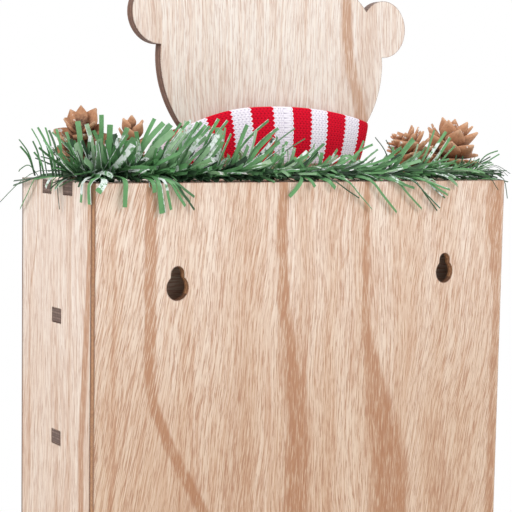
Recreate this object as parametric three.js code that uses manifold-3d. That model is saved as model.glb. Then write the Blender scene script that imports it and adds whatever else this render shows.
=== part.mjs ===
import * as THREE from 'three';
import { mergeVertices } from 'three/addons/utils/BufferGeometryUtils.js';
import Module from 'manifold-3d';

const wasm = await Module();
wasm.setup();

// Driving dimensions in millimetres
// X runs across the box, -Y is the front with the drawers, Z is up from the base

// Plywood box
const BOX_WIDTH = 205;
const BOX_DEPTH = 60;
const BOARD = 5;
const BACK_BOARD = 3;
const FIT = 0.25;
const TAB_WIDTH = 6.8;
const TOP_TAB_SPACING = 17;
const CELL_HEIGHT = 41.6;
const TOP_ROW_EXTRA = 1.8;
const COLUMNS = 4;
const ROWS = 6;

// Keyholes in the back panel
const KEYHOLE_INSET = 34.8;
const KEYHOLE_DROP = 31.1;
const KEYHOLE_HEIGHT = 12.9;
const KEYHOLE_RADIUS = 4.8;
const KEYHOLE_SLOT = 5.9;

// Drawers
const DRAWER_GAP = 0.4;
const DRAWER_WALL = 2.5;
const DRAWER_FRONT = 3;
const DRAWER_LIP = 5;
const DRAWER_REAR_GAP = 9;
const KNOB_RADIUS = 5;
const KNOB_LENGTH = 8.5;
const KNOB_NECK = 2.3;

// Bear's head, cut from one plate; heights are above the top of the box
const HEAD_BOARD = 4;
const HEAD_FROM_BACK = 32;
const HEAD_HALF_WIDTH = 57;
const HEAD_CENTRE = 49;
const HEAD_LOWER = 48.4;
const HEAD_UPPER = 42;
const NECK_HALF_WIDTH = 34;
const NECK_HEIGHT = 14;
const HEAD_TAB_WIDTH = 12;
const HEAD_TAB_SPACING = 44;
const EAR_OFFSET = 57.5;
const EAR_CENTRE = 65.3;
const EAR_RADIUS = 12.3;

// Pieces glued on the face
const FACE_BOARD = 3;
const MUZZLE_HALF_WIDTH = 23;
const MUZZLE_HALF_HEIGHT = 15.5;
const MUZZLE_CENTRE = 43;
const NOSE_HALF_WIDTH = 8;
const NOSE_HALF_HEIGHT = 5.5;
const NOSE_RISE = 6.5;
const EYE_RADIUS = 3.6;
const EYE_OFFSET = 19;
const EYE_CENTRE = 66;
const INNER_EAR_RADIUS = 7.5;

// Knitted scarf
const SCARF_THICKNESS = 2.2;
const SCARF_BOTTOM = 7.5;
const SCARF_TOP = 24.4;
const SCARF_ARCH = 5.6;
const SCARF_BULGE = 4.5;
const SCARF_FRONT_BULGE = 1.35;
const SCARF_ROUND = 0.4;
const SCARF_SLACK = 1.2;
const SCARF_FLARE = 6;
const SCARF_TAIL_WIDTH = 15;
const TAIL_REACH = 31;
const TAIL_CREST = 2;
const TAIL_DROP = 5;
const TAIL_LYING_REACH = 40;
const TAIL_LIFT = 0.5;
const KNOT_OFFSET = 12;
const KNOT_HALF_WIDTH = 9;
const KNOT_HALF_HEIGHT = 10;
const KNOT_HALF_DEPTH = 5.5;

// Needle garland
const GARLAND_OVERHANG = 3.5;
const GARLAND_EDGE = 8;
const GARLAND_END_BEND = 10;
const WIRE_RADIUS = 1.6;
const NEEDLE_LENGTH = 26;
const NEEDLE_SPREAD = 5;
const NEEDLE_WIDTH = 1.5;
const NEEDLE_THICKNESS = 0.6;
const NEEDLE_DROOP = 1.25;
const NEEDLE_BEND_AT = 0.52;
const NEEDLE_SHORTEST = 0.25;
const NEEDLE_END_LEAN = 0.75;
const GARLAND_END_SHARE = 0.2;
const NEEDLES_PER_SLICE = 104;
const SLICES = 4;

// Pine cones: the lowest scales stand at CONE_LEVEL from level, the topmost by CONE_SWEEP more
// Each cone has its middle's distance from the box's side, its place in depth and its size
const CONE_CLEARANCE = 1;
const CONE_SCALES = 20;
const CONE_SCALE_THICKNESS = 1.4;
const CONE_SCALE_SHARE = 0.38;
const CONE_ROOT_WIDTH = 1.2;
const CONE_CORE_RADIUS = 0.44;
const CONE_LEVEL = 0.25;
const CONE_SWEEP = 0.75;
const LEFT_OUTER = { inset: 8.5, y: 2.5, radius: 12.4, length: 33.5, tilt: 0.5, turn: 0.4 };
const LEFT_INNER = { inset: 27.5, y: 6, radius: 9.5, length: 28.3, tilt: 0.3, turn: 2.2 };
const RIGHT_INNER = { inset: 35, y: 7, radius: 12.2, length: 25.5, tilt: 0.35, turn: 3.6 };
const RIGHT_OUTER = { inset: 8.5, y: 2.5, radius: 17, length: 28, tilt: 0.45, turn: 5.2 };

// Worked out from the driving dimensions
const BOX_HEIGHT = (ROWS + 1) * BOARD + ROWS * CELL_HEIGHT + TOP_ROW_EXTRA;
const HALF_WIDTH = BOX_WIDTH / 2;
const HALF_DEPTH = BOX_DEPTH / 2;
const INNER_BACK = HALF_DEPTH - BACK_BOARD;
const INNER_WIDTH = BOX_WIDTH - 2 * BOARD;
const CELL_WIDTH = (INNER_WIDTH - (COLUMNS - 1) * BOARD) / COLUMNS;
const ROW_PITCH = CELL_HEIGHT + BOARD;
const HEAD_BACK = HALF_DEPTH - HEAD_FROM_BACK;
const HEAD_FACE = HEAD_BACK - HEAD_BOARD;
const HEAD_MIDDLE = HEAD_BACK - HEAD_BOARD / 2;
const GARLAND_HALF_LENGTH = HALF_WIDTH + GARLAND_OVERHANG;
const CONES = [
  { name: 'pine_cone_left_outer', x: HALF_WIDTH - LEFT_OUTER.inset, ...LEFT_OUTER },
  { name: 'pine_cone_left_inner', x: HALF_WIDTH - LEFT_INNER.inset, ...LEFT_INNER },
  { name: 'pine_cone_right_inner', x: RIGHT_INNER.inset - HALF_WIDTH, ...RIGHT_INNER },
  { name: 'pine_cone_right_outer', x: RIGHT_OUTER.inset - HALF_WIDTH, ...RIGHT_OUTER },
];

// Finishes
const plywood = { color: 0xdcc3a4, roughness: 0.75, metalness: 0 };
const darkWood = { color: 0x4a2f22, roughness: 0.6, metalness: 0 };
const paleWood = { color: 0xeedfc8, roughness: 0.75, metalness: 0 };
const knit = { color: 0xc81630, roughness: 0.95, metalness: 0 };
const needle = { color: 0x3f7a4c, roughness: 0.5, metalness: 0 };
const coneScale = { color: 0x8a5a36, roughness: 0.8, metalness: 0 };

const model = new THREE.Group();

function addMesh(name, geometry, finish) {
  const mesh = new THREE.Mesh(geometry, new THREE.MeshStandardMaterial(finish));
  mesh.name = name;
  model.add(mesh);
  return mesh;
}

// Solids for joining and cutting

function toSolid(geometry) {
  const bare = geometry.clone();
  bare.deleteAttribute('normal');
  bare.deleteAttribute('uv');
  const merged = mergeVertices(bare, 1e-4);
  return new wasm.Manifold(new wasm.Mesh({
    numProp: 3,
    vertProperties: new Float32Array(merged.attributes.position.array),
    triVerts: new Uint32Array(merged.index.array),
  }));
}

function toGeometry(solid) {
  const mesh = solid.getMesh();
  const geometry = new THREE.BufferGeometry();
  geometry.setAttribute('position', new THREE.BufferAttribute(mesh.vertProperties, 3));
  geometry.setIndex(new THREE.BufferAttribute(mesh.triVerts, 1));
  return geometry;
}

function joined(geometries) {
  let solid = toSolid(geometries[0]);
  for (const geometry of geometries.slice(1)) {
    solid = solid.add(toSolid(geometry));
  }
  return toGeometry(solid);
}

function cutOut(geometry, cutters) {
  let solid = toSolid(geometry);
  for (const cutter of cutters) {
    solid = solid.subtract(toSolid(cutter));
  }
  return toGeometry(solid);
}

// A closed skin over rings of points; a looped one has no end caps
function loft(rings, looped = false) {
  const sides = rings[0].length;
  const points = rings.flat();
  const faces = [];
  const bands = looped ? rings.length : rings.length - 1;
  for (let band = 0; band < bands; band += 1) {
    const low = band * sides;
    const high = ((band + 1) % rings.length) * sides;
    for (let side = 0; side < sides; side += 1) {
      const next = (side + 1) % sides;
      faces.push(low + side, low + next, high + next, low + side, high + next, high + side);
    }
  }
  if (!looped) {
    const last = (rings.length - 1) * sides;
    for (let side = 1; side < sides - 1; side += 1) {
      faces.push(0, side + 1, side);
      faces.push(last, last + side, last + side + 1);
    }
  }
  const geometry = new THREE.BufferGeometry();
  geometry.setAttribute('position', new THREE.Float32BufferAttribute(points.flatMap((p) => p.toArray()), 3));
  geometry.setIndex(faces);
  return geometry;
}

// Flat boards: an outline and its thickness, laid in one of three planes

function polygon(corners) {
  return new THREE.Shape(corners.map(([x, y]) => new THREE.Vector2(x, y)));
}

function rectangle(left, right, low, high) {
  return polygon([[left, low], [right, low], [right, high], [left, high]]);
}

function cutBoard(shape, thickness, curveSegments = 12) {
  return new THREE.ExtrudeGeometry(shape, { depth: thickness, bevelEnabled: false, curveSegments });
}

// The outline's X and Y become Y and Z, and the thickness runs to +X from the given X
function standAcross(mesh, x) {
  const axes = [new THREE.Vector3(0, 1, 0), new THREE.Vector3(0, 0, 1), new THREE.Vector3(1, 0, 0)];
  mesh.setRotationFromMatrix(new THREE.Matrix4().makeBasis(...axes));
  mesh.position.set(x, 0, 0);
}

// The outline's X and Y become X and Z, and the thickness runs to -Y from the given Y
function standFacing(mesh, y, z = 0) {
  mesh.rotation.set(Math.PI / 2, 0, 0);
  mesh.position.set(0, y, z);
}

function shelfTop(shelf) {
  return BOX_HEIGHT - BOARD - TOP_ROW_EXTRA - CELL_HEIGHT - (shelf - 1) * ROW_PITCH;
}

function dividerCentre(divider) {
  return -INNER_WIDTH / 2 + divider * (CELL_WIDTH + BOARD) - BOARD / 2;
}

// Side panels, with through slots for the shelves and open notches for top and bottom

function sideOutline() {
  const near = TOP_TAB_SPACING / 2 - TAB_WIDTH / 2 - FIT;
  const far = TOP_TAB_SPACING / 2 + TAB_WIDTH / 2 + FIT;
  const notch = BOARD + FIT;
  const front = -HALF_DEPTH;
  const rear = INNER_BACK - FIT;
  const shape = polygon([
    [front, 0], [-far, 0], [-far, notch], [-near, notch], [-near, 0],
    [near, 0], [near, notch], [far, notch], [far, 0], [rear, 0],
    [rear, BOX_HEIGHT], [far, BOX_HEIGHT], [far, BOX_HEIGHT - notch], [near, BOX_HEIGHT - notch],
    [near, BOX_HEIGHT], [-near, BOX_HEIGHT], [-near, BOX_HEIGHT - notch], [-far, BOX_HEIGHT - notch],
    [-far, BOX_HEIGHT], [front, BOX_HEIGHT],
  ]);
  const half = TAB_WIDTH / 2 + FIT;
  for (let shelf = 1; shelf < ROWS; shelf += 1) {
    const high = shelfTop(shelf) + FIT;
    shape.holes.push(rectangle(-half, half, high - BOARD - 2 * FIT, high));
  }
  return shape;
}

function addSides() {
  standAcross(addMesh('left_side_panel', cutBoard(sideOutline(), BOARD), plywood), HALF_WIDTH - BOARD);
  standAcross(addMesh('right_side_panel', cutBoard(sideOutline(), BOARD), plywood), -HALF_WIDTH);
}

// Top and bottom panels, with two tabs into each side panel

function capOutline() {
  const body = INNER_WIDTH / 2 - FIT;
  const near = TOP_TAB_SPACING / 2 - TAB_WIDTH / 2;
  const far = TOP_TAB_SPACING / 2 + TAB_WIDTH / 2;
  const rear = INNER_BACK - FIT;
  const rightEdge = [
    [body, -HALF_DEPTH], [body, -far], [HALF_WIDTH, -far], [HALF_WIDTH, -near], [body, -near],
    [body, near], [HALF_WIDTH, near], [HALF_WIDTH, far], [body, far], [body, rear],
  ];
  const leftEdge = rightEdge.map(([x, y]) => [-x, y]).reverse();
  return polygon([...rightEdge, ...leftEdge]);
}

function addCaps() {
  const headSlots = [-1, 1].map((side) => {
    const slot = new THREE.BoxGeometry(HEAD_TAB_WIDTH + 2 * FIT, HEAD_BOARD + 2 * FIT, 3 * BOARD);
    return slot.translate(side * HEAD_TAB_SPACING / 2, HEAD_MIDDLE, BOARD / 2);
  });
  const top = cutOut(cutBoard(capOutline(), BOARD), headSlots);
  addMesh('top_panel', top, plywood).position.z = BOX_HEIGHT - BOARD;
  addMesh('bottom_panel', cutBoard(capOutline(), BOARD), plywood);
}

// Shelves and dividers, half-lapped: shelves are slotted from the front, dividers from the rear

function shelfOutline() {
  const body = INNER_WIDTH / 2 - FIT;
  const half = TAB_WIDTH / 2;
  const rear = INNER_BACK - FIT;
  const middle = (rear - HALF_DEPTH) / 2;
  const corners = [[-body, -HALF_DEPTH]];
  for (let divider = 1; divider < COLUMNS; divider += 1) {
    const centre = dividerCentre(divider);
    const gap = BOARD / 2 + FIT;
    corners.push([centre - gap, -HALF_DEPTH], [centre - gap, middle]);
    corners.push([centre + gap, middle], [centre + gap, -HALF_DEPTH]);
  }
  corners.push([body, -HALF_DEPTH], [body, -half], [HALF_WIDTH, -half], [HALF_WIDTH, half], [body, half]);
  corners.push([body, rear], [-body, rear]);
  corners.push([-body, half], [-HALF_WIDTH, half], [-HALF_WIDTH, -half], [-body, -half]);
  return polygon(corners);
}

function dividerOutline() {
  const rear = INNER_BACK - FIT;
  const middle = (rear - HALF_DEPTH) / 2 - FIT;
  const low = BOARD + FIT;
  const high = BOX_HEIGHT - BOARD - FIT;
  const corners = [[-HALF_DEPTH, low], [rear, low]];
  for (let shelf = ROWS - 1; shelf >= 1; shelf -= 1) {
    const above = shelfTop(shelf) + FIT;
    const below = shelfTop(shelf) - BOARD - FIT;
    corners.push([rear, below], [middle, below], [middle, above], [rear, above]);
  }
  corners.push([rear, high], [-HALF_DEPTH, high]);
  return polygon(corners);
}

function addShelvesAndDividers() {
  for (let shelf = 1; shelf < ROWS; shelf += 1) {
    addMesh(`shelf_${shelf}`, cutBoard(shelfOutline(), BOARD), plywood).position.z = shelfTop(shelf) - BOARD;
  }
  for (let divider = 1; divider < COLUMNS; divider += 1) {
    const mesh = addMesh(`divider_${divider}`, cutBoard(dividerOutline(), BOARD), plywood);
    standAcross(mesh, dividerCentre(divider) - BOARD / 2);
  }
}

// Back panel with two keyholes to hang it by: a round hole below and a slot above

function keyhole(x) {
  const top = BOX_HEIGHT - KEYHOLE_DROP;
  const roundCentre = top - KEYHOLE_HEIGHT + KEYHOLE_RADIUS;
  const half = KEYHOLE_SLOT / 2;
  const shoulder = Math.asin(half / KEYHOLE_RADIUS);
  const path = new THREE.Path();
  path.absarc(x, top - half, half, 0, Math.PI, false);
  path.absarc(x, roundCentre, KEYHOLE_RADIUS, Math.PI / 2 + shoulder, 2.5 * Math.PI - shoulder, false);
  path.closePath();
  return path;
}

function addBackPanel() {
  const shape = rectangle(-HALF_WIDTH, HALF_WIDTH, 0, BOX_HEIGHT);
  shape.holes.push(keyhole(HALF_WIDTH - KEYHOLE_INSET), keyhole(KEYHOLE_INSET - HALF_WIDTH));
  standFacing(addMesh('back_panel', cutBoard(shape, BACK_BOARD, 12), plywood), HALF_DEPTH);
}

// Drawers: front, tray and turned knob

function drawerGeometry(cellHeight) {
  const half = CELL_WIDTH / 2 - DRAWER_GAP;
  const frontHeight = cellHeight - 2 * DRAWER_GAP;
  const trayHeight = frontHeight - DRAWER_LIP;
  const trayLength = INNER_BACK - DRAWER_REAR_GAP + HALF_DEPTH;
  const front = new THREE.BoxGeometry(2 * half, DRAWER_FRONT, frontHeight);
  front.translate(0, DRAWER_FRONT / 2, frontHeight / 2);
  const tray = new THREE.BoxGeometry(2 * half, trayLength, trayHeight);
  tray.translate(0, trayLength / 2, trayHeight / 2);
  const hollowLength = trayLength - DRAWER_FRONT - DRAWER_WALL;
  const hollow = new THREE.BoxGeometry(2 * (half - DRAWER_WALL), hollowLength, frontHeight);
  hollow.translate(0, DRAWER_FRONT + hollowLength / 2, DRAWER_WALL + frontHeight / 2);
  const profile = [
    [0, -KNOB_LENGTH], [0.7 * KNOB_RADIUS, -0.92 * KNOB_LENGTH], [KNOB_RADIUS, -0.64 * KNOB_LENGTH],
    [KNOB_NECK, -0.25 * KNOB_LENGTH], [KNOB_NECK, DRAWER_FRONT / 2], [0, DRAWER_FRONT / 2],
  ];
  const knob = new THREE.LatheGeometry(profile.map(([r, y]) => new THREE.Vector2(r, y)), 8);
  knob.translate(0, 0, frontHeight / 2);
  const solid = toSolid(front).add(toSolid(tray)).subtract(toSolid(hollow)).add(toSolid(knob));
  return toGeometry(solid);
}

function addDrawers() {
  let number = 1;
  for (let row = 1; row <= ROWS; row += 1) {
    const isTop = row === 1;
    const isBottom = row === ROWS;
    const floor = isBottom ? BOARD : shelfTop(row);
    const geometry = drawerGeometry(CELL_HEIGHT + (isTop ? TOP_ROW_EXTRA : 0));
    for (let column = 1; column <= COLUMNS; column += 1) {
      const mesh = addMesh(`drawer_${number}`, geometry, plywood);
      const centre = -INNER_WIDTH / 2 + (column - 0.5) * CELL_WIDTH + (column - 1) * BOARD;
      mesh.position.set(centre, -HALF_DEPTH, floor + DRAWER_GAP);
      number += 1;
    }
  }
}

// Bear's head: a plate with round ears, standing in two slots of the top panel

function headHalfWidthAt(height) {
  const share = (HEAD_CENTRE - height) / HEAD_LOWER;
  const round = HEAD_HALF_WIDTH * Math.sqrt(Math.max(0, 1 - share * share));
  return height < NECK_HEIGHT ? Math.max(round, NECK_HALF_WIDTH) : round;
}

function ellipse(halfWidth, halfHeight, x = 0, y = 0) {
  const shape = new THREE.Shape();
  shape.absellipse(x, y, halfWidth, halfHeight, 0, 2 * Math.PI, false);
  return shape;
}

function addHead() {
  const cheeks = new THREE.Shape();
  cheeks.absellipse(0, HEAD_CENTRE, HEAD_HALF_WIDTH, HEAD_UPPER, 0, Math.PI, false);
  cheeks.absellipse(0, HEAD_CENTRE, HEAD_HALF_WIDTH, HEAD_LOWER, Math.PI, 2 * Math.PI, false);
  const pieces = [cutBoard(cheeks, HEAD_BOARD, 36)];
  pieces.push(cutBoard(rectangle(-NECK_HALF_WIDTH, NECK_HALF_WIDTH, FIT, NECK_HEIGHT), HEAD_BOARD));
  for (const side of [-1, 1]) {
    pieces.push(cutBoard(ellipse(EAR_RADIUS, EAR_RADIUS, side * EAR_OFFSET, EAR_CENTRE), HEAD_BOARD, 28));
    const tab = side * HEAD_TAB_SPACING / 2;
    const half = HEAD_TAB_WIDTH / 2;
    pieces.push(cutBoard(rectangle(tab - half, tab + half, -BOARD, NECK_HEIGHT / 2), HEAD_BOARD));
  }
  standFacing(addMesh('head_plate', joined(pieces), plywood), HEAD_BACK, BOX_HEIGHT);
}

function addFace() {
  const onHead = HEAD_FACE - FIT;
  const muzzle = cutBoard(ellipse(MUZZLE_HALF_WIDTH, MUZZLE_HALF_HEIGHT, 0, MUZZLE_CENTRE), FACE_BOARD, 28);
  standFacing(addMesh('muzzle', muzzle, paleWood), onHead, BOX_HEIGHT);
  const noseCentre = MUZZLE_CENTRE + NOSE_RISE;
  const nose = cutBoard(ellipse(NOSE_HALF_WIDTH, NOSE_HALF_HEIGHT, 0, noseCentre), FACE_BOARD, 20);
  standFacing(addMesh('nose', nose, darkWood), onHead - FACE_BOARD - FIT, BOX_HEIGHT);
  for (const [side, word] of [[1, 'left'], [-1, 'right']]) {
    const eye = cutBoard(ellipse(EYE_RADIUS, EYE_RADIUS, side * EYE_OFFSET, EYE_CENTRE), FACE_BOARD, 16);
    standFacing(addMesh(`${word}_eye`, eye, darkWood), onHead, BOX_HEIGHT);
    const lining = ellipse(INNER_EAR_RADIUS, INNER_EAR_RADIUS, side * EAR_OFFSET, EAR_CENTRE);
    standFacing(addMesh(`${word}_inner_ear`, cutBoard(lining, FACE_BOARD, 20), paleWood), onHead, BOX_HEIGHT);
  }
}

// Scarf: one knitted strip round the neck, arched up behind, with a knot and two tails in front

// Points of the strip's section, as shares of its height and of its thickness
const SCARF_SECTION = [[0.05, 0], [0.5, 0], [0.95, 0], [1, 0.5], [0.93, 0.92], [0.5, 1], [0.07, 0.92], [0, 0.5]];

function scarfBand() {
  const steps = 44;
  const halfTop = headHalfWidthAt(SCARF_TOP) + SCARF_SLACK;
  const halfDepth = HEAD_BOARD / 2 + SCARF_SLACK;
  const rings = [];
  for (let step = 0; step < steps; step += 1) {
    const turn = (2 * Math.PI * step) / steps;
    const across = Math.sign(Math.cos(turn)) * Math.abs(Math.cos(turn)) ** SCARF_ROUND;
    const behind = Math.sign(Math.sin(turn)) * Math.abs(Math.sin(turn)) ** SCARF_ROUND;
    const middle = 1 - across * across;
    const bulge = (behind > 0 ? SCARF_BULGE : SCARF_FRONT_BULGE) * middle;
    const top = SCARF_TOP + (behind > 0 ? SCARF_ARCH * middle : 0);
    rings.push(SCARF_SECTION.map(([rise, outward]) => {
      const skin = outward * SCARF_THICKNESS;
      const half = halfTop - SCARF_FLARE * (1 - rise) + skin;
      const depth = (halfDepth + skin) * behind + bulge * Math.sign(behind);
      const height = SCARF_BOTTOM + rise * (top - SCARF_BOTTOM);
      return new THREE.Vector3(half * across, HEAD_MIDDLE + depth, BOX_HEIGHT + height);
    }));
  }
  return loft(rings, true);
}

// A flat strip along a curve; its width leans from upright at the knot towards the given lean
function scarfTail(route, lean) {
  const steps = 9;
  const curve = new THREE.CatmullRomCurve3(route.map(([x, y, z]) => new THREE.Vector3(x, y, z + BOX_HEIGHT)));
  const rings = [];
  for (let step = 0; step <= steps; step += 1) {
    const share = step / steps;
    const centre = curve.getPoint(share);
    const along = curve.getTangent(share);
    const tilt = lean * share;
    const across = new THREE.Vector3(0, -Math.sin(tilt), Math.cos(tilt));
    across.addScaledVector(along, -across.dot(along)).normalize();
    const out = new THREE.Vector3().crossVectors(along, across);
    rings.push(SCARF_SECTION.map(([rise, outward]) => centre.clone()
      .addScaledVector(across, (rise - 0.5) * SCARF_TAIL_WIDTH)
      .addScaledVector(out, (outward - 0.5) * SCARF_THICKNESS)));
  }
  return loft(rings);
}

function addScarf() {
  const front = HEAD_FACE - SCARF_SLACK - SCARF_THICKNESS;
  const knotHeight = (SCARF_BOTTOM + SCARF_TOP) / 2;
  const knotDepth = front - KNOT_HALF_DEPTH + SCARF_THICKNESS;
  const knot = new THREE.SphereGeometry(1, 16, 10);
  knot.scale(KNOT_HALF_WIDTH, KNOT_HALF_DEPTH, KNOT_HALF_HEIGHT);
  knot.translate(KNOT_OFFSET, knotDepth, BOX_HEIGHT + knotHeight);
  const tailDepth = knotDepth - SCARF_THICKNESS / 2;
  const tailOut = scarfTail([
    [KNOT_OFFSET, knotDepth, knotHeight],
    [KNOT_OFFSET + TAIL_REACH / 3, tailDepth, knotHeight + TAIL_CREST],
    [KNOT_OFFSET + 0.7 * TAIL_REACH, tailDepth, knotHeight],
    [KNOT_OFFSET + TAIL_REACH, tailDepth, knotHeight - TAIL_DROP],
  ], 0);
  const lying = FIT + SCARF_THICKNESS / 2 + TAIL_LIFT;
  const lyingDepth = knotDepth - SCARF_TAIL_WIDTH / 2;
  const tailDown = scarfTail([
    [KNOT_OFFSET, knotDepth, knotHeight - TAIL_CREST],
    [KNOT_OFFSET - TAIL_LYING_REACH / 4, (knotDepth + lyingDepth) / 2, knotHeight - 2 * TAIL_CREST],
    [KNOT_OFFSET - 0.6 * TAIL_LYING_REACH, lyingDepth, lying + TAIL_DROP],
    [KNOT_OFFSET - TAIL_LYING_REACH, lyingDepth, lying],
  ], -Math.PI / 2);
  addMesh('scarf', joined([scarfBand(), knot, tailOut, tailDown]), knit);
}

// Pine cones: a core with scales that open outwards along a spiral

function pineCone(radius, length) {
  const profile = [];
  for (let step = 0; step <= 4; step += 1) {
    const turn = (Math.PI * step) / 4;
    const out = CONE_CORE_RADIUS * radius * Math.sin(turn);
    profile.push(new THREE.Vector2(out, -0.46 * length * Math.cos(turn)));
  }
  profile[0].x = 0;
  profile[4].x = 0;
  const core = new THREE.LatheGeometry(profile, 6);
  core.rotateX(Math.PI / 2);
  const pieces = [core];
  for (let scale = 0; scale < CONE_SCALES; scale += 1) {
    const share = (scale + 0.5) / CONE_SCALES;
    const spin = scale * Math.PI * (3 - Math.sqrt(5));
    const reach = radius * Math.sqrt(Math.sin(Math.PI * (0.18 + 0.78 * share)));
    const rise = CONE_LEVEL + CONE_SWEEP * share;
    const half = CONE_SCALE_SHARE * reach + CONE_ROOT_WIDTH / 2;
    const flat = new THREE.OctahedronGeometry(1);
    flat.scale(half, reach * 0.55, CONE_SCALE_THICKNESS / 2);
    flat.rotateX(rise);
    const root = new THREE.Vector3(0, 0.45 * reach * Math.cos(rise), 0);
    flat.translate(root.x, root.y, (share - 0.55) * 0.8 * length + 0.3 * reach * Math.sin(rise));
    flat.rotateZ(spin);
    pieces.push(flat);
  }
  return joined(pieces);
}

function addPineCones() {
  for (const cone of CONES) {
    const geometry = pineCone(cone.radius, cone.length);
    geometry.rotateX(cone.tilt);
    geometry.rotateZ(cone.turn);
    geometry.computeBoundingBox();
    const mesh = addMesh(cone.name, geometry, coneScale);
    mesh.position.set(cone.x, cone.y, BOX_HEIGHT + FIT - geometry.boundingBox.min.z);
  }
}

// Garland: needles fused to slices of a wire that lies along the rear of the top panel

function wirePoint(x) {
  const share = x / GARLAND_HALF_LENGTH;
  const y = HALF_DEPTH - GARLAND_EDGE - GARLAND_END_BEND * share ** 4;
  return new THREE.Vector3(x, y, BOX_HEIGHT + FIT + WIRE_RADIUS);
}

function wireSlice(start, end) {
  const steps = 6;
  const sides = 6;
  const rings = [];
  for (let step = 0; step <= steps; step += 1) {
    const centre = wirePoint(start + ((end - start) * step) / steps);
    const ring = [];
    for (let side = 0; side < sides; side += 1) {
      const turn = (2 * Math.PI * (side + 0.5)) / sides;
      const offset = new THREE.Vector3(0, Math.cos(turn), Math.sin(turn)).multiplyScalar(WIRE_RADIUS);
      ring.push(centre.clone().add(offset));
    }
    rings.push(ring);
  }
  return loft(rings);
}

// Room that a needle keeps out of: the box, the head and scarf, and the pine cones
function isTaken(point) {
  const gap = NEEDLE_WIDTH / 2 + FIT;
  const height = point.z - BOX_HEIGHT;
  const overBox = Math.abs(point.x) < HALF_WIDTH + gap && Math.abs(point.y) < HALF_DEPTH + gap;
  if (overBox && height < gap) return true;
  const scarfHalf = headHalfWidthAt(SCARF_TOP) + SCARF_SLACK + SCARF_THICKNESS + gap;
  const scarfBack = HEAD_BACK + SCARF_SLACK + SCARF_THICKNESS + SCARF_BULGE + gap;
  if (Math.abs(point.x) < scarfHalf && point.y < scarfBack) return true;
  if (Math.abs(point.x) < EAR_OFFSET + EAR_RADIUS + gap && point.y < HEAD_BACK + gap) return true;
  return CONES.some((cone) => {
    const reach = Math.max(cone.radius, cone.length / 2) + CONE_CLEARANCE + gap;
    const centre = new THREE.Vector3(cone.x, cone.y, BOX_HEIGHT + cone.length / 2);
    return point.distanceTo(centre) < reach;
  });
}

// A needle runs out at its first angle and bends over to its second; it ends where the room is taken
function needleStrip(x, angle, length) {
  const root = wirePoint(x);
  const outer = Math.max(0, 1 - (1 - Math.abs(x) / GARLAND_HALF_LENGTH) / GARLAND_END_SHARE);
  const lean = Math.sign(x) * NEEDLE_END_LEAN * outer;
  const droop = NEEDLE_DROOP * Math.sign(Math.cos(angle)) * Math.cos(angle) ** 2;
  const heading = (turn) => new THREE.Vector3(lean, Math.cos(turn), Math.sin(turn)).normalize();
  const first = heading(angle);
  const second = heading(angle - droop);
  const samples = 24;
  const bend = samples * NEEDLE_BEND_AT;
  let free = 0;
  const place = (sample) => root.clone()
    .addScaledVector(first, (Math.min(sample, bend) * length) / samples)
    .addScaledVector(second, (Math.max(0, sample - bend) * length) / samples);
  while (free < samples && !isTaken(place(free + 1))) {
    free += 1;
  }
  if (free < samples * NEEDLE_SHORTEST) return null;
  const stops = free > bend ? [0.03 * samples, bend, free] : [0.03 * samples, free];
  const rings = stops.map((stop) => {
    const along = stop > bend ? second : first;
    const normal = new THREE.Vector3(0, -along.z, along.y).normalize();
    const centre = place(stop);
    return [
      centre.clone().add(new THREE.Vector3(-NEEDLE_WIDTH / 2, 0, 0)),
      centre.clone().addScaledVector(normal, NEEDLE_THICKNESS),
      centre.clone().add(new THREE.Vector3(NEEDLE_WIDTH / 2, 0, 0)),
    ];
  });
  return loft(rings);
}

function addGarland() {
  const golden = (Math.sqrt(5) - 1) / 2;
  const angleStart = -0.02 * Math.PI;
  const angleSweep = 1.04 * Math.PI;
  const length = (2 * GARLAND_HALF_LENGTH) / SLICES;
  for (let slice = 0; slice < SLICES; slice += 1) {
    const start = -GARLAND_HALF_LENGTH + slice * length + FIT / 2;
    const end = start + length - FIT;
    const pieces = [wireSlice(start, end)];
    for (let needleCount = 0; needleCount < NEEDLES_PER_SLICE; needleCount += 1) {
      const index = slice * NEEDLES_PER_SLICE + needleCount;
      const share = (needleCount + 0.5) / NEEDLES_PER_SLICE;
      const x = start + NEEDLE_WIDTH + share * (end - start - 2 * NEEDLE_WIDTH);
      const angle = angleStart + angleSweep * ((index * golden) % 1);
      const spread = 2 * ((index * Math.SQRT2) % 1) - 1;
      const strip = needleStrip(x, angle, NEEDLE_LENGTH + NEEDLE_SPREAD * spread);
      if (strip) pieces.push(strip);
    }
    addMesh(`garland_${slice + 1}`, joined(pieces), needle);
  }
}

addSides();
addCaps();
addShelvesAndDividers();
addBackPanel();
addDrawers();
addHead();
addFace();
addScarf();
addPineCones();
addGarland();

export default model;
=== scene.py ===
import math
import random

import bmesh
import bpy
import numpy as np
from mathutils import Matrix, Vector


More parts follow.
